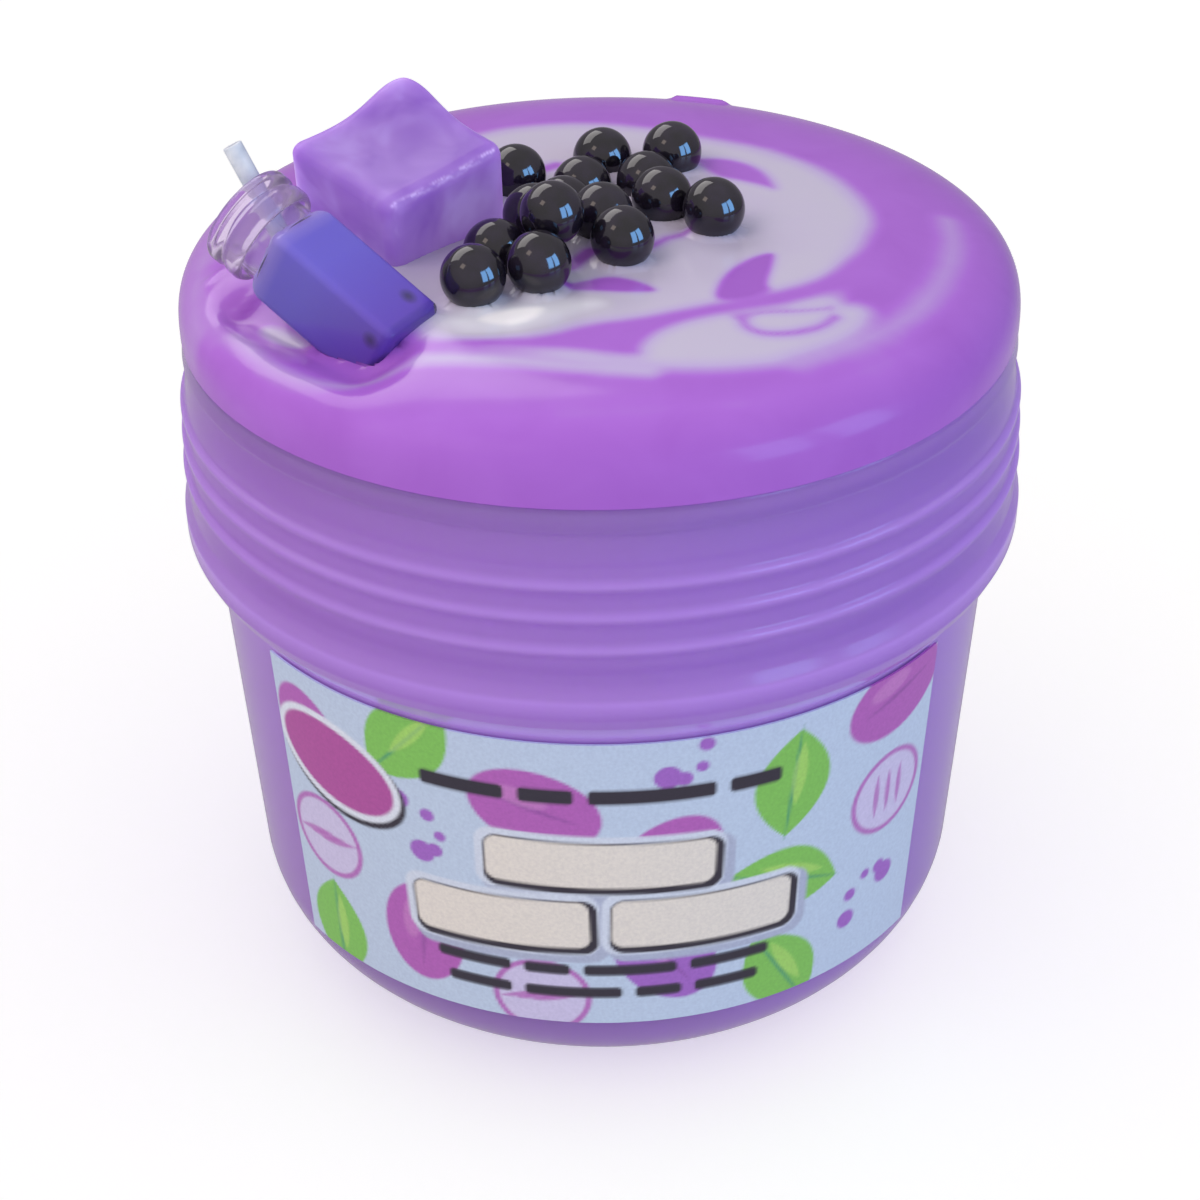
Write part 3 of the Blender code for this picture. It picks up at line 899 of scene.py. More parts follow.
@dataclass
class BottleCharm:
    """A small square bottle of violet gel, lying in the slime with its capped neck outwards."""

    rim_height: float
    foot: tuple[float, float, float] = (-17.2, -22.3, 5.7)
    heading: float = 148.5
    dip: float = 60.4
    side: float = 7.4
    length: float = 14.5
    edge_round: float = 0.75
    wall: float = 0.55
    neck_radius: float = 3.9
    neck_bore: float = 3.4
    neck_top: float = 18.1
    drink_inset: float = 0.1
    drink_floor: float = 0.55
    drink_top: float = 14.4
    cap_bottom: float = 15.2
    cap_top: float = 19.2
    cap_radius: float = 4.85
    cap_groove: float = 0.3
    cap_lip_bore: float = 3.8
    cap_lip: float = 18.5
    cap_gap: float = 0.3
    straw_radius: float = 0.9
    straw_bore: float = 0.55
    straw_start: tuple[float, float, float] = (1.95, -1.5, 12.9)
    straw_end: tuple[float, float, float] = (-4.62, -0.55, 22.86)
    grains: tuple[tuple[float, float, float], ...] = ((-3.35, -1.7, 2.5), (-1.7, 3.35, 1.8))

    def place(self) -> Matrix:
        """Return the charm's turn and place, in metres; its own axis is Z, from foot to cap."""
        turn = Matrix.Rotation(radians(self.heading), 4, "Z") @ Matrix.Rotation(radians(self.dip), 4, "Y")
        x, y, z = self.foot
        return Matrix.Translation(Vector((x, y, z + self.rim_height)) * MM) @ turn

    def block(self, name: str, inset: float, floor: float, top: float) -> bpy.types.Object:
        """Model a round-edged square block inside the bottle's outer form.

        Args:
            name: the object's name.
            inset: how far each side is moved in.
            floor: height of its underside.
            top: height of its top.

        Returns:
            The block, in the charm's own frame.
        """
        width = self.side - 2.0 * inset
        height = top - floor
        block = begin(name, bpy.ops.mesh.primitive_cube_add, size=MM)
        bpy.ops.object.mode_set(mode="EDIT")
        bpy.ops.mesh.select_all(action="SELECT")
        bpy.ops.transform.resize(value=(width, width, height))
        bpy.ops.transform.translate(value=(0.0, 0.0, (floor + 0.5 * height) * MM))
        corner = self.edge_round - 0.4 * inset
        bpy.ops.mesh.bevel(offset=corner * MM, segments=8, profile=0.5, affect="EDGES")
        bpy.ops.object.mode_set(mode="OBJECT")

        def widen_shoulder(points: np.ndarray) -> np.ndarray:
            """Give the top edges twice the round of the others."""
            rise = np.clip((points[:, 2] - top + corner) / corner, 0.0, 1.0)
            spread = np.sign(points[:, :2]) * 0.5 * width
            points[:, :2] = spread + (points[:, :2] - spread) * (1.0 + rise[:, None])
            points[:, 2] -= corner * (1.0 - rise) * (points[:, 2] > top - corner - 0.01)
            return points

        move_points(block, widen_shoulder)
        return block

    def cut(self, piece: bpy.types.Object, tool: bpy.types.Object, operation: str) -> None:
        """Join or cut a piece with a tool and remove the tool.

        Args:
            piece: the piece that is changed.
            tool: the other shape.
            operation: UNION or DIFFERENCE.
        """
        modifier = piece.modifiers.new(operation.lower(), "BOOLEAN")
        modifier.operation = operation
        modifier.solver = "EXACT"
        modifier.object = tool
        settle(piece)
        bpy.data.objects.remove(tool, do_unlink=True)

    def bottle(self) -> bpy.types.Object:
        """Return the hollow bottle with its round neck."""
        bottle = self.block("charm_bottle_shell", 0.0, 0.0, self.length)
        collar = self.length - self.edge_round
        neck = turned(
            "neck_form",
            filleted([(0.0, self.neck_top, 0.0), (self.neck_radius, self.neck_top, 0.2),
                      (self.neck_radius, collar, 0.0), (0.0, collar, 0.0)]),
            64,
        )
        self.cut(bottle, neck, "UNION")
        inside = self.block("inside_form", self.wall, self.wall, self.length - self.wall)
        self.cut(bottle, inside, "DIFFERENCE")
        bore_foot = self.length - self.wall - 0.6
        bore = turned(
            "bore_form",
            [(0.0, self.neck_top + 1.0), (self.neck_bore, self.neck_top + 1.0),
             (self.neck_bore, bore_foot), (0.0, bore_foot)],
            64,
        )
        self.cut(bottle, bore, "DIFFERENCE")
        return bottle

    def cap(self) -> bpy.types.Object:
        """Return the ring cap with its two round ribs and inward lip."""
        bore = self.neck_radius + self.cap_gap
        middle = 0.5 * (self.cap_bottom + self.cap_top)
        quarter = 0.25 * (self.cap_top - self.cap_bottom)
        groove = self.cap_radius - self.cap_groove
        corners = [
            (bore, middle, 0.0),
            (bore, self.cap_lip, 0.1),
            (self.cap_lip_bore, self.cap_lip, 0.15),
            (self.cap_lip_bore, self.cap_top, 0.3),
            (groove, self.cap_top, 0.5),
            (self.cap_radius, middle + 1.5 * quarter, 0.9),
            (self.cap_radius, middle + 0.5 * quarter, 0.9),
            (groove, middle, 0.35),
            (self.cap_radius, middle - 0.5 * quarter, 0.9),
            (self.cap_radius, middle - 1.5 * quarter, 0.9),
            (groove, self.cap_bottom, 0.35),
            (bore, self.cap_bottom, 0.2),
            (bore, middle, 0.0),
        ]
        return turned("charm_ring_cap", filleted(corners, 6), 96)

    def straw(self) -> bpy.types.Object:
        """Return the straw, a tube with softly rounded ends."""
        start, end = Vector(self.straw_start), Vector(self.straw_end)
        length = (end - start).length
        middle = 0.5 * length
        corners = [
            (self.straw_bore, middle, 0.0),
            (self.straw_bore, length, 0.12),
            (self.straw_radius, length, 0.15),
            (self.straw_radius, 0.0, 0.12),
            (self.straw_bore, 0.0, 0.12),
            (self.straw_bore, middle, 0.0),
        ]
        straw = turned("charm_white_straw", filleted(corners), 40)
        lean = (end - start).to_track_quat("Z", "Y").to_matrix().to_4x4()
        seat(straw, Matrix.Translation(start * MM) @ lean)
        return straw

    def build(self) -> list[bpy.types.Object]:
        """Model and dress bottle, gel, cap and straw; return those that press into the slime."""
        place = self.place()
        bottle = self.bottle()
        gel = self.block("charm_violet_gel", self.drink_inset, self.drink_floor, self.drink_top)
        cap = self.cap()
        straw = self.straw()
        for piece in (bottle, gel, cap, straw):
            seat(piece, place)
        clear = MouldedClearPlastic(
            "moulded_clear_charm", "#F6F4FD", ripple_mm=6.0, ripple_depth=0.05, roughness=0.16
        )
        dress(bottle, clear.build(), ["charm_bottle"])
        low, high = place @ Vector((0, 0, 0)), place @ Vector((0, 0, self.drink_top * MM))
        middles = [place @ (Vector(grain) * MM) for grain in self.grains]
        dress(gel, VioletGel().build(low, high, middles), ["charm_drink"])
        ring = MouldedClearPlastic(
            "moulded_clear_cap", "#DCCBE8", ripple_mm=3.0, ripple_depth=0.06, roughness=0.1, haze=0.1
        )
        dress(cap, ring.build(), ["charm_cap"])
        dress(straw, ExtrudedWhiteStraw().build(), ["charm_straw"])
        return [bottle, cap]


@dataclass
class BeadHeap:
    """Fifteen black beads heaped in the middle of the dome."""

    rim_height: float
    radius: float = 2.95
    foot: float = 0.06
    centres: tuple[tuple[float, float, float], ...] = (
        (-7.96, 7.27, 9.6),
        (-4.18, -9.19, 12.7),
        (-5.98, -3.81, 10.2),
        (-3.28, 1.55, 8.65),
        (-1.55, 7.48, 8.2),
        (0.36, -3.27, 10.0),
        (2.19, -9.19, 10.2),
        (-9.44, -10.15, 9.5),
        (-5.35, -14.86, 10.4),
        (-11.13, -17.07, 10.2),
        (0.49, 13.3, 8.8),
        (7.42, 12.65, 9.6),
        (4.75, 7.01, 8.8),
        (6.09, 1.02, 9.7),
        (10.81, -2.96, 10.2),
    )

    def bead(self) -> bpy.types.Object:
        """Return one bead at the origin, its foot ground a little flat."""
        bead = begin(
            "bead_pattern",
            bpy.ops.mesh.primitive_uv_sphere_add,
            segments=56,
            ring_count=36,
            radius=self.radius * MM,
        )
        bpy.ops.object.mode_set(mode="EDIT")
        bpy.ops.mesh.select_all(action="SELECT")
        bpy.ops.mesh.bisect(
            plane_co=(0.0, 0.0, -(self.radius - self.foot) * MM),
            plane_no=(0.0, 0.0, -1.0),
            use_fill=True,
            clear_outer=True,
        )
        bpy.ops.object.mode_set(mode="OBJECT")
        return bead

    def build(self) -> list[bpy.types.Object]:
        """Model one bead, copy it to every place and dress the copies; return them."""
        pattern = self.bead()
        material = TumbledBlackBead().build()
        beads = []
        for number, (x, y, z) in enumerate(self.centres, start=1):
            pick(pattern)
            bpy.ops.object.duplicate(linked=False)
            bead = bpy.context.object
            bead.name = f"bead_{number:02d}"
            seat(bead, Matrix.Translation(Vector((x, y, z + self.rim_height)) * MM))
            dress(bead, material, [f"pearl_{number:02d}"])
            beads.append(bead)
        bpy.data.objects.remove(pattern, do_unlink=True)
        return beads


@dataclass(frozen=True)
class Streak:
    """A stroke or patch of colour drawn through the slime.

    A closed one is a filled patch. Its milk is what the slime has there: 0 violet, 1 white.
    """

    points: Plane
    milk: float
    width: float = 0.0
    soft: float = 0.8
    closed: bool = False

    def cover(self, x: np.ndarray, y: np.ndarray) -> np.ndarray:
        """Return how much of the streak lies at each point, 0 to 1."""
        corners = np.array(self.points)
        distance = np.full(x.shape, 1e9)
        inside = np.zeros(x.shape, dtype=bool)
        ends = np.roll(corners, -1, axis=0) if self.closed else corners[1:]
        for (ax, ay), (bx, by) in zip(corners, ends):
            run = np.array((bx - ax, by - ay))
            share = np.clip(((x - ax) * run[0] + (y - ay) * run[1]) / (run @ run), 0.0, 1.0)
            distance = np.minimum(distance, np.hypot(x - ax - share * run[0], y - ay - share * run[1]))
            if self.closed:
                crosses = (ay > y) != (by > y)
                slope = (bx - ax) / (by - ay) if by != ay else 0.0
                inside ^= crosses & (x < ax + slope * (y - ay))
        edge = distance * np.where(inside, -1.0, 1.0) - self.width
        share = np.clip(0.5 - edge / (2.0 * self.soft), 0.0, 1.0)
        return share * share * (3.0 - 2.0 * share)


def round_off(points: Plane, closed: bool, rounds: int = 2) -> Plane:
    """Cut the corners of a run of points until it flows.

    Args:
        points: the corners.
        closed: whether the last joins the first.
        rounds: how often the corners are cut.

    Returns:
        The softened run.
    """
    for _ in range(rounds):
        softened: Plane = [] if closed else [points[0]]
        follow = points[1:] + points[:1] if closed else points[1:]
        for (ax, ay), (bx, by) in zip(points, follow):
            softened.append((0.75 * ax + 0.25 * bx, 0.75 * ay + 0.25 * by))
            softened.append((0.25 * ax + 0.75 * bx, 0.25 * ay + 0.75 * by))
        if not closed:
            softened.append(points[-1])
        points = softened
    return points


@dataclass
class Slime:
    """The filling: a body that reaches just into the jar's wall, and a marbled dome over the rim."""

    jar: ClearJar
    into_wall: float = 0.1
    dome_radius: float = 40.3
    dome_height: float = 8.0
    dome_flat: float = 5.9
    dome_crown: float = 3.3
    trough_depth: float = 2.0
    trough_width: float = 3.4
    trough_start: tuple[float, float] = (-31.5, -14.5)
    trough_end: tuple[float, float] = (-20.5, -26.0)
    fade_start: float = 36.5
    fade_end: float = 39.5
    rings: int = 100
    shoulder_rings: int = 26
    steps: int = 420
    contact: float = 0.05
    climb: float = 0.35
    climb_width: float = 0.55
    snap: float = 0.62

    def dome(self, r: np.ndarray) -> np.ndarray:
        """Return the height of the undisturbed dome above the rim."""
        share = np.minimum(1.0, r / self.dome_radius) ** self.dome_flat
        return self.dome_height * (1.0 - share) ** (1.0 / self.dome_crown)

    def outline(self) -> Outline:
        """Return the section: crown to edge, over the rim, down the wall and in along the floor."""
        rim = self.jar.rim_height
        flat_to = 0.93 * self.dome_radius
        radii = [flat_to * i / self.rings for i in range(self.rings)]
        points = [(r, rim + float(self.dome(np.array(r)))) for r in radii]
        start = float(self.dome(np.array(flat_to)))
        for i in range(self.shoulder_rings + 1):
            height = start * max(0.0, cos(0.5 * pi * i / self.shoulder_rings)) ** 0.8
            share = (1.0 - min(1.0, height / self.dome_height) ** self.dome_crown) ** (1.0 / self.dome_flat)
            points.append((self.dome_radius * share, rim + height))
        points.append((self.dome_radius - 0.15, rim - 0.04))
        points.append((self.jar.bore + self.jar.rim_round, rim - 0.06))
        points.append((self.jar.bore + self.into_wall, rim - 1.2))
        points += [(self.jar.bore + self.into_wall, z) for z in (66.0, 62.0, 58.0, 54.0)]
        points += list(reversed(self.jar.bore_outline(self.into_wall)))
        return points

    def trough(self, x: np.ndarray, y: np.ndarray) -> np.ndarray:
        """Return the change of height where the charm has pressed a trough."""
        start, end = np.array(self.trough_start), np.array(self.trough_end)
        run = end - start
        share = np.clip(((x - start[0]) * run[0] + (y - start[1]) * run[1]) / (run @ run), 0.0, 1.0)
        distance = np.hypot(x - start[0] - share * run[0], y - start[1] - share * run[1])
        fade = np.clip((self.fade_end - np.hypot(x, y)) / (self.fade_end - self.fade_start), 0.0, 1.0)
        return -self.trough_depth * np.exp(-((distance / self.trough_width) ** 2)) * fade

    def ridges(self) -> list[tuple[Streak, float]]:
        """Return the low folds on the dome, each with its height."""
        lip = [(-34.0, -15.5), (-30.3, -22.1), (-27.0, -26.6), (-24.0, -28.4), (-20.5, -28.6),
               (-15.3, -26.6)]
        fold = [(-36.4, -8.4), (-34.6, -6.8), (-33.0, -7.2)]
        crease = [(-33.0, -13.6), (-31.4, -11.6), (-29.6, -10.6)]
        tab = [(8.2, 35.2), (14.0, 33.6), (14.6, 36.4), (8.6, 37.8)]
        return [
            (Streak(round_off(lip, False), 1.0, width=0.3, soft=2.2), 0.14),
            (Streak(round_off(fold, False), 1.0, width=0.2, soft=0.7), 0.3),
            (Streak(round_off(crease, False), 1.0, width=0.2, soft=0.7), 0.3),
            (Streak(tab, 1.0, soft=0.5, closed=True), 0.5),
        ]

    def raise_top(self, points: np.ndarray) -> np.ndarray:
        """Press the trough into the dome and raise its folds.

        Args:
            points: the turned slime's points.

        Returns:
            The moved points.
        """
        x, y, z = points.T
        above = np.clip((z - self.jar.rim_height - 0.6) / 1.5, 0.0, 1.0)
        moved = points.copy()
        moved[:, 2] += self.trough(x, y) * (above > 0.0)
        for streak, height in self.ridges():
            moved[:, 2] += height * streak.cover(x, y) * above
        return moved

    def press(self, slime: bpy.types.Object, toppings: Sequence[bpy.types.Object]) -> None:
        """Press the toppings into the dome: no slime stays inside them, and it climbs them a little.

        The cube leans, so the slime lies over the foot of its back faces.

        Args:
            slime: the slime's object.
            toppings: what sits in it, the cube first.
        """
        corners: list[Vector] = []
        faces: list[tuple[int, ...]] = []
        for piece in toppings:
            base = len(corners)
            corners += [vertex.co.copy() for vertex in piece.data.vertices]
            faces += [tuple(base + i for i in face.vertices) for face in piece.data.polygons]
        tree = BVHTree.FromPolygons(corners, faces)
        cube_faces = len(toppings[0].data.polygons)
        floor = (self.jar.rim_height - 6.0) * MM
        ceiling = (self.jar.rim_height + 1.0) * MM
        up = Vector((0.0, 0.0, 1.0))
        for vertex in slime.data.vertices:
            if vertex.co.z < ceiling:
                continue
            below = Vector((vertex.co.x, vertex.co.y, floor))
            hit, _, face, _ = tree.ray_cast(below, up, vertex.co.z - floor)
            covers = hit is not None and face < cube_faces and tree.ray_cast(vertex.co, up)[0] is None
            if hit is not None and not covers:
                vertex.co.z = hit.z + self.contact * MM
                continue
            away = tree.find_nearest(vertex.co, 2.0 * MM)[3]
            if away is None:
                continue
            vertex.co.z += self.climb * MM * np.exp(-((away / (self.climb_width * MM)) ** 1.3))
            near, normal, _, away = tree.find_nearest(vertex.co)
            if away < self.snap * MM:
                vertex.co = near - normal * self.contact * MM
        slime.data.update()

    def streaks(self) -> list[Streak]:
        """Return the marbling in the order in which it was folded in, seen from above, with a painted
        reflection along the left rim and a painted highlight along the trough's lip.
        """
        swirl = [(-14.0, -24.8), (-8.6, -26.0), (-3.0, -28.5), (3.6, -29.6), (12.0, -29.4), (18.5, -27.2),
                 (22.6, -23.0), (23.9, -19.0), (20.5, -18.6), (21.9, -11.0), (24.2, -6.0), (25.6, -1.6),
                 (25.4, 2.6), (23.2, 9.6), (18.0, 16.2), (10.5, 19.9), (4.5, 23.0), (-2.0, 24.6),
                 (-9.4, 23.4), (-15.0, 20.0), (-22.0, 12.0), (-26.0, 2.0), (-25.0, -8.0), (-19.0, -18.0)]
        arm = [(17.0, -28.2), (24.0, -23.6), (28.4, -18.4), (31.6, -11.6), (33.4, -4.6), (33.4, 0.5)]
        stem = [(-14.6, -24.5), (-8.6, -24.0), (-5.1, -24.0), (-1.2, -21.8), (3.5, -20.7), (8.9, -18.5),
                (14.7, -16.3), (19.8, -13.4), (23.8, -8.7), (27.5, -6.0), (27.0, -12.0), (21.5, -16.3),
                (16.8, -18.9), (12.3, -20.5), (9.2, -21.2), (5.6, -23.4), (3.9, -26.0), (3.8, -28.0),
                (1.4, -28.0), (-1.7, -27.1), (-5.1, -26.6), (-10.3, -26.2), (-15.5, -25.5)]
        leaf = [(10.0, -17.8), (10.5, -14.4), (11.9, -11.3), (14.1, -8.7), (16.4, -7.7), (16.0, -10.9),
                (15.2, -14.3), (15.4, -16.2), (12.9, -17.8)]
        loop = [(12.4, -21.3), (12.8, -23.1), (14.3, -24.1), (16.9, -23.8), (19.3, -22.6), (20.6, -20.9)]
        loop_top = [(12.5, -20.9), (14.5, -20.1), (17.6, -19.9), (20.3, -19.2)]
        stroke = [(9.3, 14.2), (10.9, 14.9), (13.3, 14.6), (15.7, 12.8), (17.2, 9.9), (17.7, 6.1),
                  (15.9, 7.4), (13.8, 8.7), (11.3, 10.0)]
        streak = [(-5.6, -15.4), (-1.7, -13.6), (1.0, -12.4), (3.7, -13.6), (5.8, -16.1), (2.3, -16.2),
                  (-0.8, -15.7)]
        white = [(-13.9, -21.2), (-11.4, -19.5), (-8.8, -18.4), (-4.8, -17.4), (-0.8, -17.1), (0.9, -18.4),
                 (-3.5, -20.9), (-6.9, -23.0), (-11.2, -23.5)]
        milk_edge = [(-10.9, -20.6), (-7.9, -19.0), (-4.8, -18.6), (-5.2, -20.3), (-7.1, -22.1),
                     (-9.6, -21.8)]
        # Painted reflection: a pale band along the left rim, where the dome mirrors its surroundings.
        painted_left_reflection = [(-25.0, -29.6), (-30.4, -25.6), (-35.2, -18.6), (-37.4, -12.0),
                    (-37.6, -4.0), (-36.0, 6.0)]
        magenta_one = [(-36.2, -9.0), (-34.8, -7.2), (-33.6, -7.8), (-33.8, -10.4), (-35.2, -11.4)]
        magenta_two = [(-34.0, -13.4), (-32.2, -11.8), (-31.0, -12.4), (-31.2, -14.6), (-32.4, -15.4)]
        grey = [(-30.6, -15.6), (-28.2, -17.0), (-25.4, -20.4), (-27.6, -20.4), (-30.0, -18.0)]
        # Painted highlight: a pale band along the lip of the charm's trough.
        lip = [(-32.4, -18.6), (-30.3, -22.1), (-27.0, -26.6), (-24.0, -28.4), (-20.5, -28.8),
               (-15.8, -27.4)]
        strip = [(-14.8, -27.2), (-8.5, -28.0), (-2.0, -29.4), (4.0, -30.0)]
        front = [(-20.0, -34.0), (-10.0, -35.6), (0.0, -35.8), (10.0, -35.0), (19.0, -31.4), (27.0, -25.0)]
        left_wash = [(-36.0, -18.0), (-33.0, -22.0), (-28.4, -27.8), (-24.0, -31.6)]
        return [
            Streak(round_off(front, False), 0.09, width=1.0, soft=2.6),
            # Painted reflection along the left rim.
            Streak(round_off(painted_left_reflection, False), 0.17, width=1.4, soft=2.6),
            Streak(round_off(swirl, True), 0.5, soft=2.1, closed=True),
            Streak(round_off(arm, False), 0.22, width=0.9, soft=2.0),
            Streak(round_off(strip, False), 0.3, width=1.0, soft=1.2),
            Streak(round_off(stem, True), 0.06, soft=1.4, closed=True),
            Streak(round_off(leaf, True), 0.0, soft=0.8, closed=True),
            Streak(round_off(loop, False), 0.06, width=0.65, soft=1.1),
            Streak(round_off(loop_top, False), 0.1, width=0.4, soft=1.0),
            Streak(round_off(stroke, True), 0.04, soft=1.1, closed=True),
            Streak(round_off(streak, True), 0.05, soft=0.7, closed=True),
            Streak([(4.1, -7.2), (6.4, -4.6), (9.0, -3.4)], 0.1, width=0.7, soft=0.9),
            Streak([(-2.6, -10.6), (-0.8, -7.4)], 0.05, width=1.0, soft=0.9),
            Streak([(-6.4, 11.6), (-4.1, 13.3)], 0.05, width=1.0, soft=1.0),
            Streak(round_off(white, True), 0.78, soft=1.6, closed=True),
            Streak(round_off(milk_edge, True), 1.0, soft=0.7, closed=True),
            Streak(round_off(left_wash, False), 0.05, width=1.2, soft=1.6),
            Streak(round_off(magenta_one, True), 0.0, soft=0.8, closed=True),
            Streak(round_off(magenta_two, True), 0.0, soft=0.8, closed=True),
            Streak(round_off(grey, True), 0.42, soft=1.0, closed=True),
            # Painted highlight along the trough's lip.
            Streak(round_off(lip, False), 0.26, width=0.4, soft=1.5),
        ]

    def marble(self, slime: bpy.types.Object) -> None:
        """Write the marbling to the slime's points, as how milky each one is."""
        x, y, z = points_of(slime).T
        milk = np.full(x.shape, 0.04)
        for streak in self.streaks():
            cover = streak.cover(x, y)
            milk += (streak.milk - milk) * cover
        above = np.clip((z - self.jar.rim_height) / 1.5, 0.0, 1.0)
        milk = milk * above + 0.04 * (1.0 - above)
        # Painted light: below the rim, behind the wall, the slime's colour is painted lighter.
        painted_wall_light = np.clip((self.jar.rim_height - z) / 0.6, 0.0, 1.0)
        for name, values in (("milk", milk), ("painted_wall_light", painted_wall_light)):
            layer = slime.data.attributes.new(name, "FLOAT", "POINT")
            layer.data.foreach_set("value", values.astype(np.float32))

    def build(self, toppings: Sequence[bpy.types.Object]) -> bpy.types.Object:
        """Model, press, marble and dress the slime.

        Args:
            toppings: the pieces that are pressed into the dome.

        Returns:
            The slime.
        """
        slime = turned("marbled_slime", self.outline(), self.steps)
        move_points(slime, self.raise_top)
        self.marble(slime)
        self.press(slime, toppings)
        dress(slime, StirredSlime().build(), ["slime"], angle=70.0)
        return slime


@dataclass
class Label:
    """The paper label round the front of the body, with its own plain pattern.

    The print is drawn on the flat sheet: u runs to the right and v up, from the sheet's middle.
    """

    jar: ClearJar
    bottom: float = 10.4
    top: float = 45.5
    half_angle: float = 52.5
    gap: float = 0.3
    thickness: float = 0.2
    pitch: float = 0.25
    paper: str = "#B8C8E0"
    magenta: str = "#AE5AB4"
    plum: str = "#9C60C0"
    green: str = "#7CBF55"
    dark_green: str = "#3F9470"
    cream: str = "#DCD5CE"
    dark: str = "#332E3C"
    shadow: str = "#A7AFC9"
    badge: str = "#AC4A9C"

    def half_width(self) -> float:
        """Return half the sheet's width along the wall."""
        return radians(self.half_angle) * self.jar.body_radius(0.5 * (self.bottom + self.top))

    def wrap(self, points: np.ndarray) -> np.ndarray:
        """Lay a flat sheet round the jar's wall.

        Args:
            points: u, v and height off the paper's inner face.

        Returns:
            The wrapped points.
        """
        u, v, off = points.T
        z = 0.5 * (self.bottom + self.top) + v
        angle = u / self.half_width() * radians(self.half_angle)
        wall = np.array([self.jar.wall_radius(height) for height in z])
        r = wall + self.gap + off
        return np.stack((r * np.sin(angle), -r * np.cos(angle), z), axis=1)

    def paint(self, sheet: np.ndarray, u: np.ndarray, v: np.ndarray) -> np.ndarray:
        """Print every motif on the flat sheet.

        Args:
            sheet: the colour at each point, which is changed.
            u: places to the right of the middle.
            v: places above the middle.

        Returns:
            The printed colours.
        """

        def ink(cover: np.ndarray, colour: str) -> None:
            """Lay one ink over the sheet where its cover is above zero."""
            sheet[:] += (np.array(linear(colour)) - sheet) * np.clip(cover, 0.0, 1.0)[:, None]

        def frame_of(cu: float, cv: float, turn: float) -> tuple[np.ndarray, np.ndarray]:
            """Return every point's place along and across a motif that is turned by some degrees."""
            a = radians(turn)
            return (u - cu) * cos(a) + (v - cv) * sin(a), (v - cv) * cos(a) - (u - cu) * sin(a)

        def edge(distance: np.ndarray) -> np.ndarray:
            """Return the cover for a distance outside a motif, soft over one pitch."""
            return np.clip(0.5 - distance / self.pitch, 0.0, 1.0)

        def oval(cu: float, cv: float, a: float, b: float, turn: float = 0.0) -> np.ndarray:
            """Return the distance outside an oval, from its middle, half axes and turn."""
            p, q = frame_of(cu, cv, turn)
            scaled = np.sqrt((p / a) ** 2 + (q / b) ** 2)
            return (scaled - 1.0) * min(a, b)

        def vesica(cu: float, cv: float, length: float, width: float, turn: float) -> np.ndarray:
            """Return the distance outside a pointed leaf, from its middle, size and turn."""
            p, q = frame_of(cu, cv, turn)
            swell = np.clip(1.0 - (2.0 * p / length) ** 2, 0.0, 1.0)
            return np.where(np.abs(2.0 * p / length) < 1.0, np.abs(q) - 0.5 * width * swell, 1.0)

        def plaque(cu: float, cv: float, w: float, h: float, corner: float, turn: float) -> np.ndarray:
            """Return the distance outside a round-cornered plaque, from its middle, size and turn."""
            p, q = frame_of(cu, cv, turn)
            dp, dq = np.abs(p) - w / 2 + corner, np.abs(q) - h / 2 + corner
            outside = np.hypot(np.maximum(dp, 0.0), np.maximum(dq, 0.0))
            return outside + np.minimum(np.maximum(dp, dq), 0.0) - corner

        layout = ("102013", "231012", "010310")
        for i, cu in enumerate((-30.0, -18.5, -6.5, 5.5, 17.5, 29.5)):
            for j, row in enumerate((-13.4, -1.4, 10.4)):
                cv = row + (4.4 if i % 2 else -0.8)
                kind = int(layout[j][i])
                turn = 35.0 * ((i * 5 + j * 3) % 7) - 90.0
                if kind == 0:
                    ink(edge(oval(cu, cv, 6.3, 4.4, turn)), self.plum if (i + j) % 3 == 0 else self.magenta)
                    ink(0.5 * edge(vesica(cu, cv, 9.0, 0.5, turn)), "#7C3F92")
                    ink(0.3 * edge(oval(cu - 1.2, cv + 1.4, 2.6, 1.0, turn)), "#D79AD0")
                elif kind == 1:
                    ink(edge(vesica(cu, cv, 12.6, 7.8, turn)), self.green)
                    ink(0.8 * edge(vesica(cu, cv, 13.6, 0.4, turn)), self.dark_green)
                    ink(0.5 * edge(vesica(cu + 0.6, cv + 0.9, 7.4, 1.5, turn)), "#B6DE6E")
                elif kind == 2:
                    ink(0.5 * edge(oval(cu, cv, 4.6, 4.6)), "#D3B4E2")
                    ink(0.9 * edge(np.abs(oval(cu, cv, 4.6, 4.6)) - 0.3), self.magenta)
                    for slant in (-1.6, 0.0, 1.6):
                        ink(0.8 * edge(vesica(cu + slant, cv, 5.4, 0.7, turn)), self.magenta)
                else:
                    for k, size in enumerate((1.3, 0.8, 0.6, 0.75, 1.1)):
                        a = radians(40.0 * k + turn)
                        reach = 1.4 + 0.85 * k
                        ink(edge(oval(cu + reach * cos(a), cv + reach * sin(a), size, size)), self.plum)
        plaques = ((-0.6, 3.0, 21.4, 5.4, -1.5), (-10.3, -4.7, 17.2, 5.9, 1.5), (9.2, -4.5, 17.6, 5.9, -1.0))
        layers = (
            (2.4, 0.7, self.shadow),
            (2.0, 0.0, "#CBD3E4"),
            (1.0, 0.3, self.dark),
            (0.0, 0.0, self.cream),
        )
        for grow, slip, colour in layers:
            for cu, cv, wide, tall, turn in plaques:
                tile = plaque(cu + slip, cv - slip, wide + grow, tall + grow, 1.2 + 0.3 * grow, turn)
                ink(edge(tile), colour)
        rows = (
            (11.4, 1.7, (8.0, 5.0, 11.5, 5.0)),
            (-10.4, 1.4, (7.5, 4.5, 9.0, 8.0)),
            (-13.4, 1.4, (6.5, 9.5, 4.5, 6.5)),
        )
        for cv, tall, words in rows:
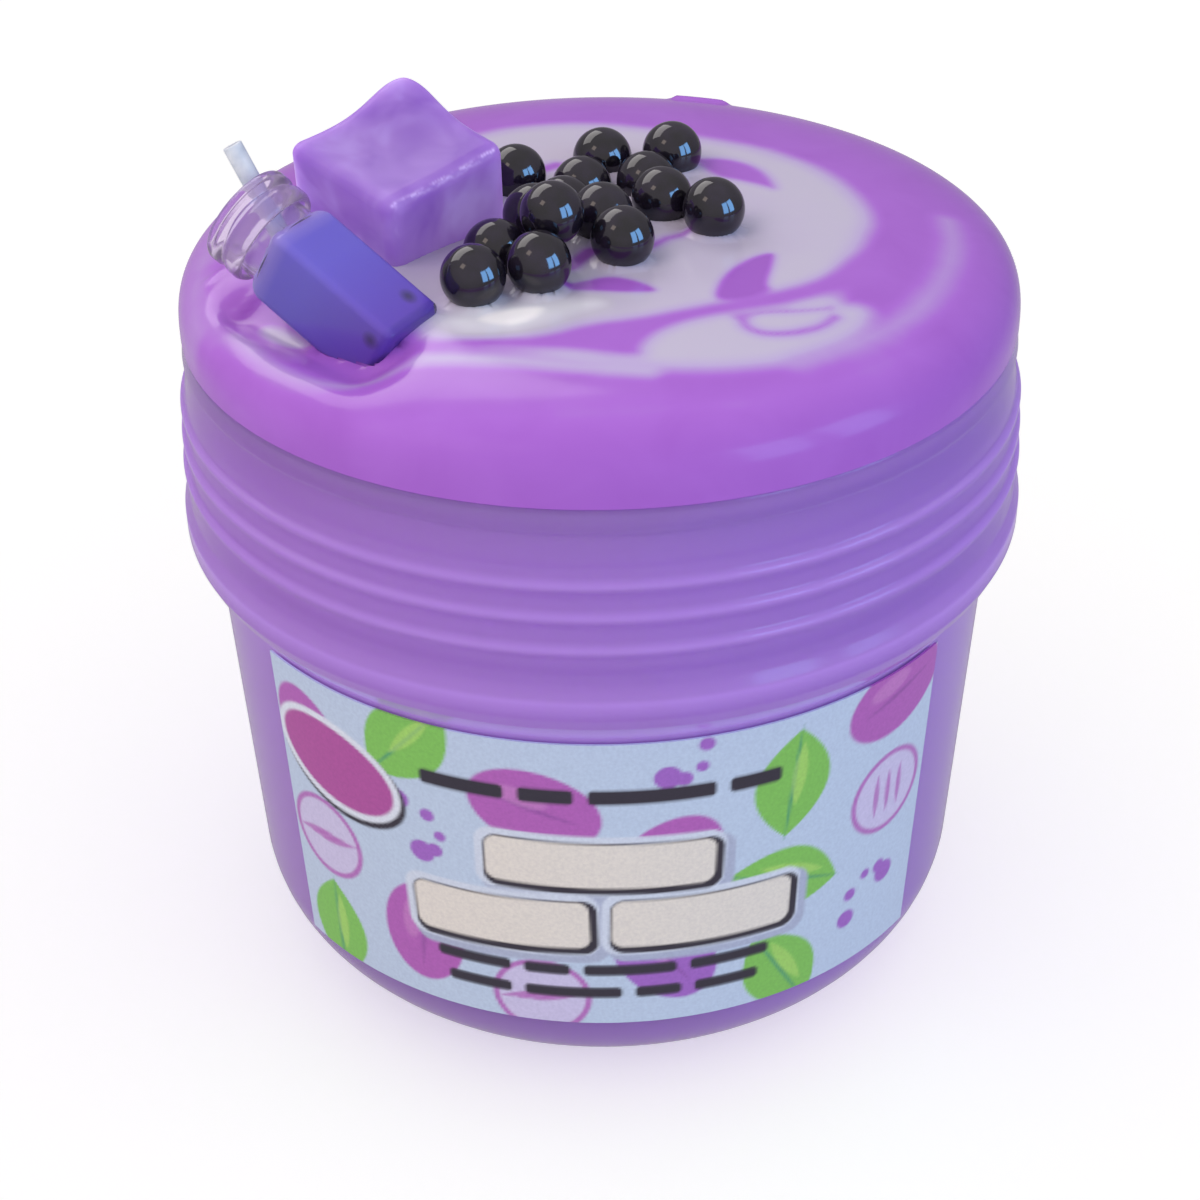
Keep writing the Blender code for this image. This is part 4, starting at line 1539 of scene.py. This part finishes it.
            cu = -0.5 * (sum(words) + 1.3 * (len(words) - 1)) - 0.5
            for word in words:
                ink(edge(plaque(cu + 0.5 * word, cv, word, tall, 0.5, 0.0)), self.dark)
                cu += word + 1.3
        ink(edge(oval(-27.0, 7.7, 8.1, 5.4, -14.0)), self.dark)
        ink(edge(oval(-27.4, 8.2, 8.0, 5.3, -14.0)), "#D6DCEA")
        ink(edge(oval(-27.4, 8.2, 7.2, 4.5, -14.0)), self.badge)
        return sheet

    def build(self) -> bpy.types.Object:
        """Model, print and dress the label; return it."""
        half_width, half_height = self.half_width(), 0.5 * (self.top - self.bottom)
        sheet = begin(
            "printed_label",
            bpy.ops.mesh.primitive_grid_add,
            x_subdivisions=int(2.0 * half_width / self.pitch),
            y_subdivisions=int(2.0 * half_height / self.pitch),
            size=2.0 * MM,
        )
        bpy.ops.object.mode_set(mode="EDIT")
        bpy.ops.mesh.select_all(action="SELECT")
        bpy.ops.transform.resize(value=(half_width, half_height, 1.0))
        bpy.ops.object.mode_set(mode="OBJECT")
        u, v, _ = points_of(sheet).T
        colours = np.tile(np.array(linear(self.paper)), (len(u), 1))
        colours = self.paint(colours, u, v)
        ink = sheet.data.attributes.new("ink", "FLOAT_COLOR", "POINT")
        ink.data.foreach_set("color", colours.astype(np.float32).ravel())
        move_points(sheet, self.wrap)
        body = sheet.modifiers.new("paper", "SOLIDIFY")
        body.thickness = self.thickness * MM
        body.offset = 1.0
        settle(sheet)
        dress(sheet, PrintedPaper().build(), ["label"])
        return sheet


@dataclass
class Studio:
    """The pale floor, the soft lights and the camera at the photograph's viewing angle."""

    camera_place: tuple[float, float, float] = (0.0, -0.198248, 0.165582)
    camera_turn: tuple[float, float, float] = (56.574, 0.672, -0.344)
    lens: float = 67.32
    sensor: float = 36.0
    floor_size: float = 3.0
    floor_white: str = "#F6FBF4"
    floor_glow: float = 0.46
    sky_bright: str = "#E9E4E6"
    sky_side: str = "#C2BDC3"
    sky_back: str = "#9C98A0"
    sky_below: str = "#C8C3CA"
    sky_strength: float = 0.87

    def floor(self) -> bpy.types.Object:
        """Return the floor, a wide sheet with a soft white finish."""
        floor = begin("studio_floor", bpy.ops.mesh.primitive_plane_add, size=self.floor_size)
        material, tree, shader = blank_material("matt_white_sweep")
        feed(tree, shader, {
            "Base Color": linear(self.floor_white),
            "Roughness": 0.9,
            "Emission Color": linear("#FFFFFF"),
            "Emission Strength": self.floor_glow,
        })
        floor.data.materials.append(material)
        floor.visible_glossy = False
        return floor

    def light(
        self,
        name: str,
        towards: tuple[float, float, float],
        distance: float,
        size: tuple[float, float],
        watts: float,
        colour: str,
        shines: bool = True,
        mirrored: bool = True,
    ) -> bpy.types.Object:
        """Hang an area light that faces the jar.

        Args:
            name: the light's name.
            towards: where it hangs, as a direction from the dome.
            distance: how far away, in metres.
            size: its width and height, in metres.
            watts: its power.
            colour: its colour.
            shines: whether it lights matt surfaces.
            mirrored: whether glossy surfaces mirror it.

        Returns:
            The light.
        """
        centre = Vector((0.0, 0.0, 0.07))
        direction = Vector(towards).normalized()
        bpy.ops.object.select_all(action="DESELECT")
        bpy.ops.object.light_add(type="AREA", location=centre + direction * distance)
        light = bpy.context.object
        light.name = name
        light.rotation_mode = "QUATERNION"
        light.rotation_quaternion = (-direction).to_track_quat("-Z", "Y")
        light.data.shape = "RECTANGLE"
        light.data.size, light.data.size_y = size
        light.data.energy = watts
        light.data.color = linear(colour)[:3]
        light.visible_diffuse = shines
        light.visible_glossy = mirrored
        light.visible_transmission = False
        return light

    def camera(self) -> bpy.types.Object:
        """Return the camera, set as the scene's own."""
        turn = [radians(angle) for angle in self.camera_turn]
        bpy.ops.object.camera_add(location=self.camera_place, rotation=turn)
        camera = bpy.context.object
        camera.name = "photo_view"
        camera.data.lens = self.lens
        camera.data.sensor_width = self.sensor
        camera.data.clip_start = 0.01
        bpy.context.scene.camera = camera
        return camera

    def build(self, beads: Sequence[bpy.types.Object]) -> None:
        """Set up floor, sky, lights and camera.

        Args:
            beads: the polished pieces that alone mirror the small glint lights.
        """
        scene = bpy.context.scene
        scene.view_settings.view_transform = "Standard"
        self.camera()
        floor = self.floor()
        world = bpy.data.worlds.new("soft_sky")
        world.use_nodes = True
        tree = world.node_tree
        place = add_node(tree, "ShaderNodeTexCoord").outputs["Generated"]
        towards = add_node(
            tree, "ShaderNodeVectorMath", {0: place, 1: (0.0, -0.55, 0.83)}, operation="DOT_PRODUCT"
        )
        share = add_node(
            tree,
            "ShaderNodeMapRange",
            {"Value": towards.outputs["Value"], "From Min": -1.0, "From Max": 1.0},
        )
        sky = add_node(
            tree,
            "ShaderNodeValToRGB",
            {"Fac": share.outputs["Result"]},
            {0.1: self.sky_below, 0.3: self.sky_back, 0.55: self.sky_side, 0.85: self.sky_bright},
        )
        strength = self.sky_strength
        feed(tree, tree.nodes["Background"], {"Color": sky.outputs["Color"], "Strength": strength})
        scene.world = world
        front_left = (-0.5, -0.38, 0.77)
        lamps = [
            self.light(
                "soft_lamp_front_left", front_left, 0.55, (0.28, 0.28), 1.18, "#FFF1E6", mirrored=False
            ),
            self.light("wide_window_back_left", (-0.46, 0.56, 0.69), 0.75, (0.7, 0.4), 2.1, "#FFFBF8"),
        ]
        glints = [self.light("lamp_glint", front_left, 0.52, (0.13, 0.13), 0.12, "#FFE9D8", shines=False)]
        for number, shift in enumerate((-0.2, 0.2), start=1):
            towards = (0.775 + 0.56 * shift, -0.522 + 0.83 * shift, 0.33)
            lamps.append(self.light(f"blue_pane_{number}", towards, 0.53, (0.15, 0.3), 0.4, "#9CCBFA"))
            glints.append(
                self.light(f"pane_glint_{number}", towards, 0.5, (0.17, 0.32), 1.6, "#6CB4FF", shines=False)
            )
        self.reach(lamps, "all_but_the_floor", [floor], "EXCLUDE")
        self.reach(glints, "polished_beads", beads, "INCLUDE")

    def reach(
        self, lights: Sequence[bpy.types.Object], name: str, pieces: Sequence[bpy.types.Object], state: str
    ) -> None:
        """Limit what some lights reach.

        Args:
            lights: the lights.
            name: the name for the list of pieces.
            pieces: the pieces that are listed.
            state: INCLUDE if the lights reach only these, EXCLUDE if they reach all others.
        """
        listed = bpy.data.collections.new(name)
        for piece in pieces:
            listed.objects.link(piece)
        for item in listed.collection_objects:
            item.light_linking.link_state = state
        for light in lights:
            light.light_linking.receiver_collection = listed


def main() -> None:
    """Build the jar's looks in order, then the studio round it."""
    logging.basicConfig(level=logging.INFO, format="%(message)s")
    jar = ClearJar()
    jar.build()
    cube = IceCube(jar.rim_height).build()
    charm = BottleCharm(jar.rim_height).build()
    beads = BeadHeap(jar.rim_height).build()
    Slime(jar).build([cube, *charm, *beads])
    Label(jar).build()
    Studio().build(beads)


if __name__ == "__main__":
    main()
